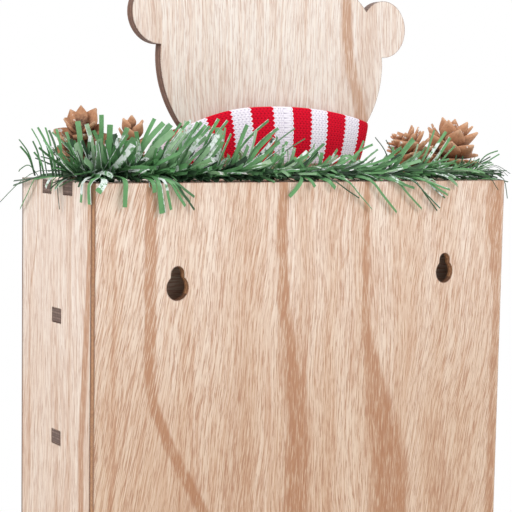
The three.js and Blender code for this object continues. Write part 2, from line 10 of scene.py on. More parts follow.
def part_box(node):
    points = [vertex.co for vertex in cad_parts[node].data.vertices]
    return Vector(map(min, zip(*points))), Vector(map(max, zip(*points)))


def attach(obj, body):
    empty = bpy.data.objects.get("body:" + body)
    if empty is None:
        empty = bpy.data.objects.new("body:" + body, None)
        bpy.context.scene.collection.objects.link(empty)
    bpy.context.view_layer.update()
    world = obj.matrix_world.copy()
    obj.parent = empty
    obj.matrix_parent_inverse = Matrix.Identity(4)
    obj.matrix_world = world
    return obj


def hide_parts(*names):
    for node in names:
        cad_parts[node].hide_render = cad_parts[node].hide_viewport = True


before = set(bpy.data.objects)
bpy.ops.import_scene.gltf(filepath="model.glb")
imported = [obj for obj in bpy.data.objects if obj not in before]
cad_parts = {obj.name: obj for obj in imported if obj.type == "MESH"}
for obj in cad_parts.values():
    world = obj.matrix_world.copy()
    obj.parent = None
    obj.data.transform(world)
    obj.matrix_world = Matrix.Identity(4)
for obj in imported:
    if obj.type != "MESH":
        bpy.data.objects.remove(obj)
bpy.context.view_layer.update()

MM = 0.001

# Places and sizes, in metres, read from the frame
_, BACK_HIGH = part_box("back_panel")
TOP = BACK_HIGH.z
HALF_WIDTH = BACK_HIGH.x
HALF_DEPTH = BACK_HIGH.y
HEAD_LOW, HEAD_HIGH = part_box("head_plate")
HEAD_MIDDLE = (HEAD_LOW.y + HEAD_HIGH.y) / 2
HEAD_BOARD = HEAD_HIGH.y - HEAD_LOW.y
CONES = ("pine_cone_left_outer", "pine_cone_left_inner", "pine_cone_right_inner", "pine_cone_right_outer")
DRAWERS = 24


def show(name, data):
    """A new object in the scene."""
    thing = bpy.data.objects.new(name, data)
    bpy.context.scene.collection.objects.link(thing)
    return thing


def circle(sides):
    """Cosine and sine of evenly spaced turns."""
    turns = [2 * math.pi * side / sides for side in range(sides)]
    return [(math.cos(turn), math.sin(turn)) for turn in turns]


# Camera: solved from the box's edges in the photograph, whose optical axis lies a little above its centre
CAMERA_PLACE = (0.32984, 0.44922, 0.30469)
CAMERA_YAW = math.radians(35.3784)
CAMERA_PITCH = math.radians(4.8464)
CAMERA_ROLL = math.radians(1.0063)
CAMERA_LENS = 93.62
CAMERA_SHIFT = -0.01663


def add_camera():
    forward = Vector((
        -math.sin(CAMERA_YAW) * math.cos(CAMERA_PITCH),
        -math.cos(CAMERA_YAW) * math.cos(CAMERA_PITCH),
        -math.sin(CAMERA_PITCH),
    ))
    level = forward.to_track_quat("-Z", "Y").to_matrix().to_4x4()
    data = bpy.data.cameras.new("camera")
    data.sensor_width = 36
    data.lens = CAMERA_LENS
    data.shift_y = CAMERA_SHIFT
    data.clip_start = 0.01
    data.clip_end = 20
    camera = show("camera", data)
    camera.matrix_world = (
        Matrix.Translation(CAMERA_PLACE) @ Matrix.Rotation(-CAMERA_ROLL, 4, forward) @ level
    )
    bpy.context.scene.camera = camera


# Materials: a thin layer over Blender's shader nodes


def tone(red, green, blue):
    """A colour as it is seen, 0 to 255 a channel, in the linear values that the shader takes."""
    parts = (channel / 255 for channel in (red, green, blue))
    return (*(p / 12.92 if p <= 0.04045 else ((p + 0.055) / 1.055) ** 2.4 for p in parts), 1)


def operator(operation, swapped=False):
    def act(*values):
        return values[0].nodes.math(operation, *(reversed(values) if swapped else values))
    return act


class Value:
    """What comes out of a node; arithmetic with it adds Math nodes."""

    def __init__(self, nodes, socket):
        self.nodes = nodes
        self.socket = socket

    __add__ = __radd__ = operator("ADD")
    __mul__ = __rmul__ = operator("MULTIPLY")
    __sub__ = operator("SUBTRACT")
    __rsub__ = operator("SUBTRACT", swapped=True)
    __truediv__ = operator("DIVIDE")
    __mod__ = operator("MODULO")
    __gt__ = operator("GREATER_THAN")
    __abs__ = operator("ABSOLUTE")
    floor = operator("FLOOR")
    fract = operator("FRACT")


class Nodes:
    """The nodes of a material or of the world."""

    def __init__(self, tree):
        self.tree = tree

    def add(self, kind, inputs=None, **settings):
        node = self.tree.nodes.new("ShaderNode" + kind)
        for key, value in settings.items():
            setattr(node, key, value)
        for key, value in (inputs or {}).items():
            if isinstance(value, Value):
                self.tree.links.new(value.socket, node.inputs[key])
            else:
                node.inputs[key].default_value = value
        return node

    def value(self, kind, inputs=None, output=0, **settings):
        return Value(self, self.add(kind, inputs, **settings).outputs[output])

    def split(self, vector):
        outputs = self.add("SeparateXYZ", {0: vector}).outputs
        return {axis: Value(self, outputs[axis]) for axis in "XYZ"}

    def math(self, operation, *values):
        return self.value("Math", dict(enumerate(values)), operation=operation)

    def step(self, value, low, high, start=0.0, end=1.0):
        """Rises smoothly from start to end as value goes from low to high."""
        inputs = {"Value": value, "From Min": low, "From Max": high, "To Min": start, "To Max": end}
        return self.value("MapRange", inputs, interpolation_type="SMOOTHSTEP")

    def mix(self, share, first, second, blend="MIX"):
        return self.value("Mix", {0: share, 6: first, 7: second}, 2, data_type="RGBA", blend_type=blend)

    def noise(self, place, scale=1.0, detail=2.0, roughness=0.5, distortion=0.0):
        """Noise at a place, given as one value or as its three parts."""
        if isinstance(place, tuple):
            place = self.value("CombineXYZ", dict(enumerate(place)))
        inputs = dict(Vector=place, Scale=scale, Detail=detail, Roughness=roughness, Distortion=distortion)
        return self.value("TexNoise", inputs)

    def in_view(self):
        """1 for what the camera sees, also in a reflection or through something clear."""
        paths = self.add("LightPath").outputs
        rays = [Value(self, paths[f"Is {ray} Ray"]) for ray in ("Camera", "Glossy", "Transmission")]
        return self.math("MAXIMUM", self.math("MAXIMUM", rays[0], rays[1]), rays[2])


class Finish(Nodes):
    """One material. place is a point's place on its piece in millimetres, and paint the colour so far."""

    def __init__(self, name, roughness, **settings):
        self.material = bpy.data.materials.new(name)
        self.material.use_nodes = True
        super().__init__(self.material.node_tree)
        self.shader = self.tree.nodes["Principled BSDF"]
        for socket, value in {"Roughness": roughness, **settings}.items():
            self.shader.inputs[socket.replace("_", " ")].default_value = value
        raw = self.value("TexCoord", output="Object")
        self.place = self.value("VectorMath", {0: raw, 3: 1 / MM}, operation="SCALE")
        self.axes = self.split(self.place)

    def attribute(self, name):
        return self.value("Attribute", output="Fac", attribute_name=name)

    def coat(self, shade, share, *steps):
        """Lays a colour over the paint by a share, or by a value's step between two limits."""
        if steps:
            share = self.step(share, *steps)
        self.paint = self.mix(share, self.paint, shade)

    def done(self, rough=None, height=None, strength=0.0, distance=0.0):
        sockets = {"Base Color": self.paint}
        if rough:
            sockets["Roughness"] = rough
        if height:
            inputs = {"Height": height, "Strength": strength, "Distance": distance}
            sockets["Normal"] = self.value("Bump", inputs)
        for name, value in sockets.items():
            self.tree.links.new(value.socket, self.shader.inputs[name])
        return self.material


# Wood

WOOD_PALE = tone(239, 222, 207)
WOOD_WARM = tone(226, 201, 180)
WOOD_GRAIN = tone(204, 164, 137)
WOOD_STREAK = tone(188, 141, 108)
WOOD_PORE = tone(180, 132, 104)
WOOD_GLINT = tone(246, 233, 218)
BACK_EDGE = (tone(196, 146, 106), tone(122, 82, 54))
TAB_EDGE = (tone(134, 110, 98), tone(74, 54, 48))
HEAD_EDGE = (tone(138, 104, 88), tone(88, 60, 48))
TRAY_WOOD = (tone(228, 202, 178), tone(206, 172, 142))
SCORCH = tone(92, 60, 44)
SCORCH_WIDTH = 1.8
# Painted shade: upright boards grow darker between these two heights, in millimetres, standing in for light
# that falls from above
PAINTED_SHADE_TONE = tone(236, 226, 215)
PAINTED_SHADE_TOP = 290.0
PAINTED_SHADE_BOTTOM = 165.0
HEAD_GROUND = (tone(240, 230, 221), tone(226, 209, 195))
SIDE_GROUND = (tone(241, 229, 219), tone(228, 208, 193))
PLY = 1.0
ZONE_BLEND = 5.0


def fibres(finish, across, along, seed, zones):
    """Long fibres and short pores, whose lean from the grain's direction changes from zone to zone.

    A zone is (start, lean): it begins where the place across the grain passes start.
    """
    found = None
    for number, (start, lean) in enumerate(zones):
        c, s = math.cos(lean), math.sin(lean)
        u = across * c + along * s
        v = along * c - across * s
        z = seed + 3.1 * number
        pair = (
            finish.noise((u * 1.55, v * 0.03, z), detail=3.0, roughness=0.62),
            finish.noise((u * 2.6, v * 0.14, z + 7.3), detail=2.0, roughness=0.6),
        )
        if found:
            share = finish.step(across, start - ZONE_BLEND, start + ZONE_BLEND)
            pair = tuple(old * (1.0 - share) + new * share for old, new in zip(found, pair))
        found = pair
    return found


def add_streak(finish, across, along, seed, place, shift, high, low, widths, strengths):
    """A brown growth band, which moves aside by shift and changes its width and strength from high to low."""
    down = finish.step(along, low, high, 1.0, 0.0)
    width = down * (widths[1] - widths[0]) + widths[0]
    strength = down * (strengths[1] - strengths[0]) + strengths[0]
    sway = finish.noise((across * 0.5, along * 0.05, seed), detail=4.0) - 0.5
    offset = abs(across + sway * (width * 0.7) - (down * shift + place)) / width
    finish.coat(WOOD_STREAK, finish.step(offset, 0.25, 0.6, 1.0, 0.0) * strength)


def plywood(name, grain, thin, seed, streaks=(), zones=((0.0, 0.0),), edge=BACK_EDGE, pale=0.0, depth=1.0,
            painted_falloff=0.0, top_scorch_and_shade=0.8, ground=(WOOD_PALE, WOOD_WARM), corner=None):
    """Pale open-grained plywood. grain and thin name the axes of its fibres and of its thickness.

    pale makes its broad clouds lighter, depth is how strongly fibres and pores show, painted_falloff how much
    painted shade darkens an upright board below its top, standing in for light that falls from above, and
    top_scorch_and_shade how dark its upper edges are, from laser scorch together with painted shade under the
    garland. corner is the place across the grain where a board that is scorched beside its edge ends.
    """
    finish = Finish(name, 0.62)
    along, through = finish.axes[grain], finish.axes[thin]
    across = next(value for axis, value in finish.axes.items() if axis not in (grain, thin))
    bent = across + (finish.noise((across * 0.02, along * 0.012, seed), detail=1.0) - 0.5) * 12.0
    long, short = fibres(finish, bent, along, seed + 1.0, zones)

    cloud = finish.noise((bent * 0.1, along * 0.005, seed + 3.0), detail=4.0)
    finish.paint = finish.mix(finish.step(cloud, 0.36 + pale, 0.64 + pale), *ground)
    ribs = finish.noise((bent * 0.24, along * 0.008, seed + 5.0), detail=2.0)
    finish.coat(WOOD_GRAIN, ribs, 0.55, 0.68, 0.0, 0.5 * depth)
    finish.coat(WOOD_GRAIN, long, 0.45, 0.6, 0.0, 0.55 * depth)
    for number, values in enumerate(streaks):
        add_streak(finish, across, along, seed + number, *values)
    finish.coat(WOOD_PORE, short, 0.53, 0.6, 0.0, 0.55 * depth)
    finish.coat(WOOD_GLINT, short, 0.38, 0.46, 0.45, 0.0)
    # Painted shade, darker towards the bottom of an upright board, standing in for light that falls from
    # above
    if painted_falloff:
        down = finish.step(along, PAINTED_SHADE_TOP, PAINTED_SHADE_BOTTOM, 0.0, painted_falloff)
        finish.paint = finish.mix(down, finish.paint, PAINTED_SHADE_TONE, "MULTIPLY")
    if corner is not None:
        finish.coat(SCORCH, across, corner, corner + SCORCH_WIDTH, 0.95, 0.0)
    face = finish.paint

    # The laser leaves the cut edges brown, with the plies as lines
    layer = through / PLY
    finish.paint, dark = edge
    finish.coat(dark, finish.noise(finish.place, scale=0.9, detail=3.0), 0.35, 0.7, 0.0, 0.5)
    finish.coat(dark, finish.math("PINGPONG", layer.floor(), 1.0) * 0.45)
    finish.coat(dark, finish.step(abs(layer.fract() - 0.5), 0.24, 0.46) * 0.7)
    normal = finish.split(finish.value("TexCoord", output="Normal"))
    # Upper cut edges darker: laser scorch together with painted shade under the garland
    finish.coat(SCORCH, (normal["Z"] > 0.5) * top_scorch_and_shade)
    finish.coat(face, abs(normal[thin]) > 0.5)

    # A scorched line runs along every corner of the board
    rounded = finish.value("Bevel", {"Radius": 0.7 * MM}, samples=4)
    flat = finish.value("NewGeometry", output="True Normal")
    agree = finish.value("VectorMath", {0: rounded, 1: flat}, "Value", operation="DOT_PRODUCT")
    finish.coat(SCORCH, agree, 0.8, 0.995, 0.8, 0.0)
    return finish.done(finish.step(long, 0.3, 0.7, 0.55, 0.72), long - short, 0.25, 0.25 * MM)


def plain_wood(name, light, dark, roughness):
    """Solid turned or painted wood with a faint grain."""
    finish = Finish(name, roughness)
    x, y, z = finish.axes.values()
    value = finish.noise((x * 0.9, y * 0.9, z * 0.12), detail=4.0, roughness=0.65, distortion=0.3)
    finish.paint = light
    finish.coat(dark, value, 0.32, 0.7)
    rough = finish.step(value, 0.3, 0.7, roughness - 0.06, roughness + 0.08)
    return finish.done(rough, value, 0.15, 0.2 * MM)


# Knit: colour goes by whole courses, so that the stripes end in the stitches' own zigzag

KNIT_RED = tone(224, 0, 42)
# Shaded copies of the yarn colours: painted shade where the yarn lies low between the stitches
KNIT_RED_SHADED = tone(146, 2, 26)
KNIT_WHITE = tone(252, 246, 255)
KNIT_WHITE_SHADED = tone(190, 178, 202)
RED_COURSES = 6
WHITE_COURSES = 5


def knit_finish():
    finish = Finish("knit", 0.92, Sheen_Weight=0.03, Sheen_Roughness=0.5, Specular_IOR_Level=0.2)
    course = finish.attribute("course").floor() % (RED_COURSES + WHITE_COURSES)
    # Painted shade: the yarn grows darker where it lies low between the stitches
    painted_recess_shade = finish.step(finish.attribute("pile"), 0.1, 0.75, 1.0, 0.0)
    finish.paint = finish.mix(painted_recess_shade, KNIT_RED, KNIT_RED_SHADED)
    finish.coat(finish.mix(painted_recess_shade, KNIT_WHITE, KNIT_WHITE_SHADED), course > RED_COURSES - 0.5)
    lint = finish.noise(finish.place, scale=2.6, detail=4.0, roughness=0.7)
    finish.coat(tone(250, 110, 140), lint, 0.55, 0.85, 0.0, 0.06)
    return finish.done(finish.step(lint, 0.3, 0.7, 0.82, 0.96), lint, 0.35, 0.15 * MM)


def needle_finish():
    """Matt PVC strip: each strip has its own green, with painted shade darkening it towards its root, and
    some carry frost.
    """
    finish = Finish("needle", 0.42, Specular_IOR_Level=0.4)
    own = finish.attribute("tone")
    finish.paint = tone(30, 52, 34)
    finish.coat(tone(100, 154, 98), own, 0.0, 0.45)
    finish.coat(tone(166, 194, 160), own, 0.5, 1.0)
    finish.coat(tone(70, 116, 76), finish.noise(finish.place, scale=0.45, detail=3.0), 0.45, 0.72, 0.0, 0.3)
    # Painted shade: the strips darken towards their roots by the wire, deep inside the garland
    finish.coat(tone(18, 34, 24), finish.attribute("share"), 0.0, 0.5, 0.9, 0.0)
    flakes = finish.noise(finish.place, scale=0.6, detail=4.0, roughness=0.65)
    frost = finish.step(flakes - (0.95 - finish.attribute("frost") * 0.6), -0.05, 0.08, 0.0, 0.92)
    finish.coat(tone(232, 240, 238), frost)
    return finish.done(frost * 0.35 + 0.4, flakes, 0.2, 0.1 * MM)


def cone_finish():
    """Woody scales: pale at the rim and dark towards the core, partly the scales' own colour and partly
    painted shade deep between them, with dabs of frost.
    """
    finish = Finish("cone_scale", 0.68)
    reach = finish.attribute("reach")
    streaks = finish.noise(finish.place, scale=1.1, detail=4.0, roughness=0.65)
    # The dark base colour, left where reach is low near the core, is partly the wood's own colour and partly
    # painted shade between the scales
    finish.paint = tone(74, 42, 26)
    finish.coat(tone(196, 142, 106), reach, 0.22, 0.75)
    finish.coat(tone(222, 172, 134), streaks, 0.42, 0.72, 0.0, 0.55)
    finish.coat(tone(130, 82, 52), streaks, 0.45, 0.25, 0.0, 0.5)
    finish.coat(tone(226, 186, 154), reach, 0.8, 1.0, 0.0, 0.6)
    dabs = finish.noise(finish.place, scale=0.3, detail=3.0, roughness=0.6)
    finish.coat(tone(244, 242, 238), finish.step(dabs, 0.62, 0.65) * finish.step(reach, 0.45, 0.75))
    return finish.done(finish.step(streaks, 0.3, 0.7, 0.6, 0.8), streaks, 0.4, 0.3 * MM)


def wire_finish():
    finish = Finish("garland_wire", 0.55)
    value = finish.noise(finish.place, scale=1.4, detail=3.0)
    finish.paint = tone(44, 38, 30)
    finish.coat(tone(52, 74, 44), value, 0.4, 0.62)
    return finish.done(None, value, 0.4, 0.2 * MM)


# Meshes


def add_piece(name, points, faces, material, body="case", replaces=(), attributes=None, crease=None):
    """A new object that rides on a body."""
    mesh = bpy.data.meshes.new(name)
    mesh.from_pydata(np.asarray(points, float).tolist(), [], faces)
    shell = bmesh.new()
    shell.from_mesh(mesh)
    bmesh.ops.recalc_face_normals(shell, faces=shell.faces)
    shell.to_mesh(mesh)
    shell.free()
    mesh.materials.append(material)
    mesh.polygons.foreach_set("use_smooth", [True] * len(mesh.polygons))
    if crease is not None:
        mesh.set_sharp_from_angle(angle=crease)
    for key, values in (attributes or {}).items():
        mesh.attributes.new(key, "FLOAT", "POINT").data.foreach_set("value", np.asarray(values, np.float32))
    piece = show(name, mesh)
    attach(piece, body)
    if replaces:
        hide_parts(*replaces)
    return piece


class Skin:
    """Points, faces and values a point of one mesh, gathered shape by shape."""

    def __init__(self):
        self.points = []
        self.faces = []
        self.values = {}

    def add(self, points, faces, **values):
        first = len(self.points)
        self.points.extend(points)
        self.faces.extend(tuple(first + corner for corner in face) for face in faces)
        for key, value in values.items():
            given = value if hasattr(value, "__len__") else [value] * len(points)
            self.values.setdefault(key, []).extend(given)


def tube_faces(rings, sides, looped=False):
    """Faces of a skin over rings of points, with end caps where it isn't looped."""
    faces = []
    for ring in range(rings if looped else rings - 1):
        low = ring * sides
        high = (ring + 1) % rings * sides
        for side in range(sides):
            after = (side + 1) % sides
            faces.append((low + side, low + after, high + after, high + side))
    if not looped:
        faces.append(tuple(range(sides))[::-1])
        faces.append(tuple(range((rings - 1) * sides, rings * sides)))
    return faces


# Knitted scarf

WALE = 1.88 * MM
COURSE = 1.73 * MM
STEPS_A_COURSE = 6
STEPS_A_WALE = 6
INNER_STEPS = 12
STITCH_HEIGHT = 0.55 * MM
STITCH_SLOPE = 1.2
CLOTH = 1.3 * MM


def stitches(course, wale):
    """Height of the yarn, 0 to 1, and its course number: each stitch is a V of two slanted strands."""
    beside = np.abs(wale - np.floor(wale) - 0.5)
    number = course - STITCH_SLOPE * beside
    across = number - np.floor(number) - 0.5
    strand = np.sqrt(np.clip(1 - (2 * across) ** 2, 0, 1))
    swell = np.sin(2 * math.pi * np.clip(beside, 0.02, 0.48)) ** 0.6
    return strand * (0.35 + 0.65 * swell), number


def knitted(name, surface, length, width, looped, first_course):
    """A closed knitted strip over surface(share, rise): share runs along it, rise across it, both 0 to 1.

    A loop is knitted on its outside and plain within; a tail shows stitches on both sides.
    """
    courses = round(length / COURSE)
    wales = round(width / WALE)
    rings = courses * STEPS_A_COURSE + (0 if looped else 1)
    columns = wales * STEPS_A_WALE + 1
    share = np.arange(rings) / (courses * STEPS_A_COURSE)
    outer_rise = np.linspace(0, 1, columns)
    inner_rise = np.linspace(1, 0, INNER_STEPS if looped else columns)
    rise = np.concatenate([outer_rise, inner_rise])
    is_outer = np.arange(len(rise)) < columns

    def at(shares, rises):
        return surface(*np.meshgrid(shares, rises, indexing="ij"))

    small = 1e-4
    base = at(share, rise)
    side = at(share, np.clip(rise + small, 0, 1)) - at(share, np.clip(rise - small, 0, 1))
    ahead = at(share + small, rise) - at(share - small, rise)
    out = np.cross(side, ahead)
    out /= np.linalg.norm(out, axis=2, keepdims=True)

    course = np.broadcast_to((share * courses)[:, None], base.shape[:2])
    wale = np.broadcast_to((rise * wales)[None, :], base.shape[:2])
    pile, number = stitches(course, wale)
    selvedge = np.sqrt(np.clip(1 - np.abs(2 * rise - 1) ** 10, 0, 1))
    yarn = CLOTH / 2 + STITCH_HEIGHT * (pile - 0.4)
    height = np.where(is_outer, yarn, -CLOTH / 2 if looped else -yarn) * selvedge
    points = base + out * height[..., None]
    marks = {
        "course": (number + first_course).ravel(),
        "pile": np.where(is_outer | (not looped), pile, 0.5).ravel(),
    }
    piece = add_piece(name, points.reshape(-1, 3), tube_faces(rings, len(rise), looped), KNIT,
                      replaces=("scarf",), attributes=marks)


SCARF_BOTTOM = 6.5 * MM
SCARF_TOP = 24.2 * MM
SCARF_ARCH = 5.8 * MM
SCARF_FLARE = 5 * MM
SCARF_BULGE = 4.5 * MM
SCARF_HALF_WIDTH = 49.5 * MM
SCARF_ROUND = 0.4
SCARF_SAG = 5 * MM
SAG_FROM = 0.35
SCARF_START = 4.6
BAND_CLEARANCE = 1.6 * MM
TAIL_WIDTH = 15 * MM
LEFT_TAIL = [(13, -14, 15), (25, -15, 15.5), (37, -15.5, 12.5), (48.5, -16, 8.6)]
RIGHT_TAIL = [(12, -14.5, 12), (1, -17.5, 9), (-11, -20.5, 4.5), (-27, -22, 1.8)]


def around(turn, power):
    return np.sign(turn) * np.abs(turn) ** power


def add_band():
    """The strip round the neck: close to the plate, arched and bulging behind, slack at the bear's left."""
    depth = HEAD_BOARD / 2 + BAND_CLEARANCE

    def shape(share_of_turn, rise):
        turn = share_of_turn - 0.5 * math.pi
        x = around(np.cos(turn), SCARF_ROUND)
        y = around(np.sin(turn), SCARF_ROUND)
        middle = 1 - x * x
        behind = y > 0
        bulge = np.where(behind, SCARF_BULGE, 0.3 * SCARF_BULGE) * middle
        sag = SCARF_SAG * np.clip((-x - SAG_FROM) / (1 - SAG_FROM), 0, 1) ** 2
        top = SCARF_TOP + np.where(behind, SCARF_ARCH * middle, 0) - sag
        half = SCARF_HALF_WIDTH - SCARF_FLARE * (1 - rise)
        belly = 1.2 * MM * np.sin(math.pi * rise)
        return np.stack([
            -half * x,
            HEAD_MIDDLE + (depth + belly) * y + bulge * np.sign(y),
            TOP + SCARF_BOTTOM + rise * (top - SCARF_BOTTOM),
        ], axis=-1)

    turns = np.linspace(0, 2 * math.pi, 4001)
    run = run_along(shape(turns, np.full_like(turns, 0.5)))

    def surface(share, rise):
        turn = np.interp((share % 1.0) * run[-1], run, turns)
        return shape(turn, rise)

    width = SCARF_TOP - SCARF_BOTTOM + SCARF_ARCH
    knitted("scarf_band", surface, float(run[-1]), width, True, SCARF_START)


def run_along(line):
    """How far each point of a line lies along it."""
    return np.concatenate([[0], np.cumsum(np.linalg.norm(np.diff(line, axis=0), axis=1))])


def at_shares(values, shares):
    """The values of an evenly spaced row of vectors at shares of its length."""
    stations = np.linspace(0, 1, len(values))
    return np.stack([np.interp(shares, stations, values[:, axis]) for axis in range(3)], axis=-1)


def curve_through(points, count=200):
    """Evenly spaced points on a Catmull-Rom curve."""
    p = np.array([points[0], *points, points[-1]], float)
    found = []
    for a, b, c, d in zip(p, p[1:], p[2:], p[3:]):
        t = np.linspace(0, 1, 40, endpoint=False)[:, None]
        found.append(0.5 * (
            2 * b + (c - a) * t + (2 * a - 5 * b + 4 * c - d) * t ** 2 + (3 * b - a - 3 * c + d) * t ** 3
        ))
    line = np.concatenate([*found, p[-1:]])
    run = run_along(line)
    even = np.linspace(0, run[-1], count)
    return np.stack([np.interp(even, run, line[:, axis]) for axis in range(3)], axis=-1), float(run[-1])


def add_tail(name, route, start_lean, end_lean, first_course):
    """A knitted tail along a route of X, Y and height; its width leans more and more from upright."""
    line, length = curve_through([(x * MM, y * MM, TOP + z * MM) for x, y, z in route])
    along = np.gradient(line, axis=0)
    along /= np.linalg.norm(along, axis=1, keepdims=True)
    lean = np.linspace(start_lean, end_lean, len(line))
    across = np.stack([np.zeros_like(lean), -np.sin(lean), np.cos(lean)], axis=-1)
    across -= along * np.sum(across * along, axis=1, keepdims=True)
    across /= np.linalg.norm(across, axis=1, keepdims=True)

    def surface(share, rise):
        flat = np.clip(share, 0, 1).ravel()
        extra = (share.ravel() - flat) * length
        centre, ahead, wide = (at_shares(values, flat) for values in (line, along, across))
        out = np.cross(ahead, wide)
        shift = rise.ravel() - 0.5
        gather = 0.72 + 0.28 * np.clip(flat * 3, 0, 1)
        wave = 0.5 * MM * np.sin(2 * math.pi * (rise.ravel() * 1.5 + flat)) * flat
        aside = shift * TAIL_WIDTH * gather
        points = centre + ahead * extra[:, None] + wide * aside[:, None] + out * wave[:, None]
        return points.reshape(*share.shape, 3)

    knitted(name, surface, length, TAIL_WIDTH, False, first_course)


KNOT = (12.0 * MM, -14.0 * MM, 15.0 * MM)
KNOT_HALF_WIDTH = 8.0 * MM
KNOT_HALF_HEIGHT = 9.5 * MM
KNOT_HALF_DEPTH = 5.0 * MM


def add_knot():
    """One turn of the scarf wrapped round the crossing."""

    def surface(share, rise):
        turn = 2 * math.pi * share
        swell = 0.8 + 0.2 * np.sin(math.pi * rise)
        pinch = 0.42 + 0.58 * np.sin(math.pi * rise) ** 0.7
        return np.stack([
            KNOT[0] + KNOT_HALF_WIDTH * (2 * rise - 1) + 1.5 * MM * np.sin(turn),
            KNOT[1] - KNOT_HALF_DEPTH * pinch * np.cos(turn),
            TOP + KNOT[2] + KNOT_HALF_HEIGHT * swell * np.sin(turn),
        ], axis=-1)

    length = 2 * math.pi * math.sqrt((KNOT_HALF_HEIGHT ** 2 + KNOT_HALF_DEPTH ** 2) / 2)
    knitted("scarf_knot", surface, length, 2 * KNOT_HALF_WIDTH, True, 0.0)


# Garland: strips of PVC caught in a twisted wire along the rear of the top panel

GARLAND_HALF_LENGTH = 106 * MM
SLICES = 4
SLICE_LENGTH = 2 * GARLAND_HALF_LENGTH / SLICES
WIRE_Y = 22 * MM
WIRE_END_BEND = 10 * MM
WIRE_HEIGHT = 2 * MM
STRIP_THICKNESS = 0.16 * MM
STRIP_STEPS = 9
LYING = 0.5 * MM
LEFT_REACH = 121 * MM
RIGHT_REACH = -117 * MM


def wire_point(x):
    share = x / GARLAND_HALF_LENGTH
    return Vector((x, WIRE_Y - WIRE_END_BEND * share ** 4, TOP + WIRE_HEIGHT))


# Profiles along the wire, by X in millimetres: how high the strips' tips stand above the box, less behind the
# scarf and the right cones; how wide the strips are, broad at the bear's left, fine at its right and thin as
# hair at the ends; and how far they lean along the wire, most of them towards the bear's right
CEILING = (
    (-112, -105, -92, -86, -78, -68, -52, -42, -34, -27, -19, -11, -4, 4, 12, 30, 52, 60, 65, 74, 80, 94,
     106, 130),
    (4, 10, 9, 8, 11, 17, 14, 12, 14, 12, 12, 14, 15, 16, 18, 20, 20, 17, 11, 11, 19, 20, 20, 14),
)
BREADTH = (
    (-112, -98, -85, -60, -30, 0, 30, 60, 90, 102, 112),
    (0.4, 0.6, 0.8, 1.0, 1.0, 1.1, 1.5, 2.0, 2.0, 1.1, 0.6),
)
LEAN = (
    (-106, -90, -70, -45, -20, 10, 35, 55, 72, 85, 95, 106),
    (-1.1, -0.9, -1.1, -1.3, -1.2, -1.0, -0.8, -0.55, -0.15, 0.05, 0.4, 0.8),
)


def profile_at(profile, x):
    return float(np.interp(x / MM, *profile))


# The head plate's half width at the box, and from what height and how fast it grows
HEAD_FOOT = 35 * MM
HEAD_WIDENS_FROM = 8 * MM
HEAD_WIDENING = 0.8
HEAD_AIR = 0.6 * MM


def room_taken(point):
    """True inside the head plate, the scarf or a pine cone."""
    height = point.z - TOP
    if abs(point.x) < HEAD_HIGH.x and HEAD_LOW.y - HEAD_AIR < point.y < HEAD_HIGH.y + HEAD_AIR:
        widening = HEAD_WIDENING * max(0, height - HEAD_WIDENS_FROM)
        return height > 0 and abs(point.x) < HEAD_FOOT + widening
    if abs(point.x) < SCARF_HALF_WIDTH + 2 * MM and SCARF_BOTTOM < height < SCARF_TOP + SCARF_ARCH:
        middle = 1 - min(1, abs(point.x) / SCARF_HALF_WIDTH) ** 2
        if point.y < HEAD_HIGH.y + BAND_CLEARANCE + CLOTH + 1.5 * MM + SCARF_BULGE * middle:
            return True
    return any((point - centre).length < reach for centre, reach in CONE_ROOM)


def lay_strip(root, start, end, length, steps=STRIP_STEPS):
    """A strip's line: it leaves its root along start, turns to end, and lies on the box where it meets it."""
    line = [root.copy()]
    for step in range(steps - 1):
        share = (step + 0.5) / (steps - 1)
        heading = start.lerp(end, share).normalized()
        point = line[-1] + heading * (length / (steps - 1))
        over_box = abs(point.x) < HALF_WIDTH + MM and -HALF_DEPTH < point.y < HALF_DEPTH + 0.4 * MM
        if over_box and point.z < TOP + LYING:
            if line[-1].z >= TOP:
                point.z = TOP + LYING
            elif point.y > HALF_DEPTH - 5 * MM:
                point.y = HALF_DEPTH + 0.8 * MM
            else:
                point.x = math.copysign(HALF_WIDTH + 1.2 * MM, point.x)
        line.append(point)
    return line


def add_strip(skin, line, width, facing, twist, shade, frost, edge=0.0):
    """A thin folded strip along a line, with a square-cut end. edge is the frost along its one long edge."""
    rings = []
    count = len(line)
    for step, point in enumerate(line):
        point.x = min(LEFT_REACH, max(RIGHT_REACH, point.x))
        before, after = line[max(0, step - 1)], line[min(count - 1, step + 1)]
        along = (after - before).normalized()
        flat = facing - along * facing.dot(along)
        flat = flat.normalized() if flat.length > 1e-3 else along.orthogonal().normalized()
        flat.rotate(Matrix.Rotation(twist * step / (count - 1), 3, along))
        side = along.cross(flat)
        half = width / 2 * (0.75 + 0.25 * min(1, 3 * step / (count - 1)))
        fold = 0.12 * width
        sheet = STRIP_THICKNESS / 2
        rings += [
            point - side * half + flat * (fold + sheet), point + flat * sheet,
            point + side * half + flat * (fold + sheet), point + side * half + flat * (fold - sheet),
            point - flat * sheet, point - side * half + flat * (fold - sheet),
        ]
    shares = [step / (count - 1) for step in range(count)]
    frosts = [min(1, frost(share) + more) for share in shares for more in (edge, 0, 0, 0, 0, edge)]
    skin.add(rings, tube_faces(count, 6), tone=shade, frost=frosts, share=np.repeat(shares, 6))


FROST = 0.85
FROSTY_TIP = 0.85


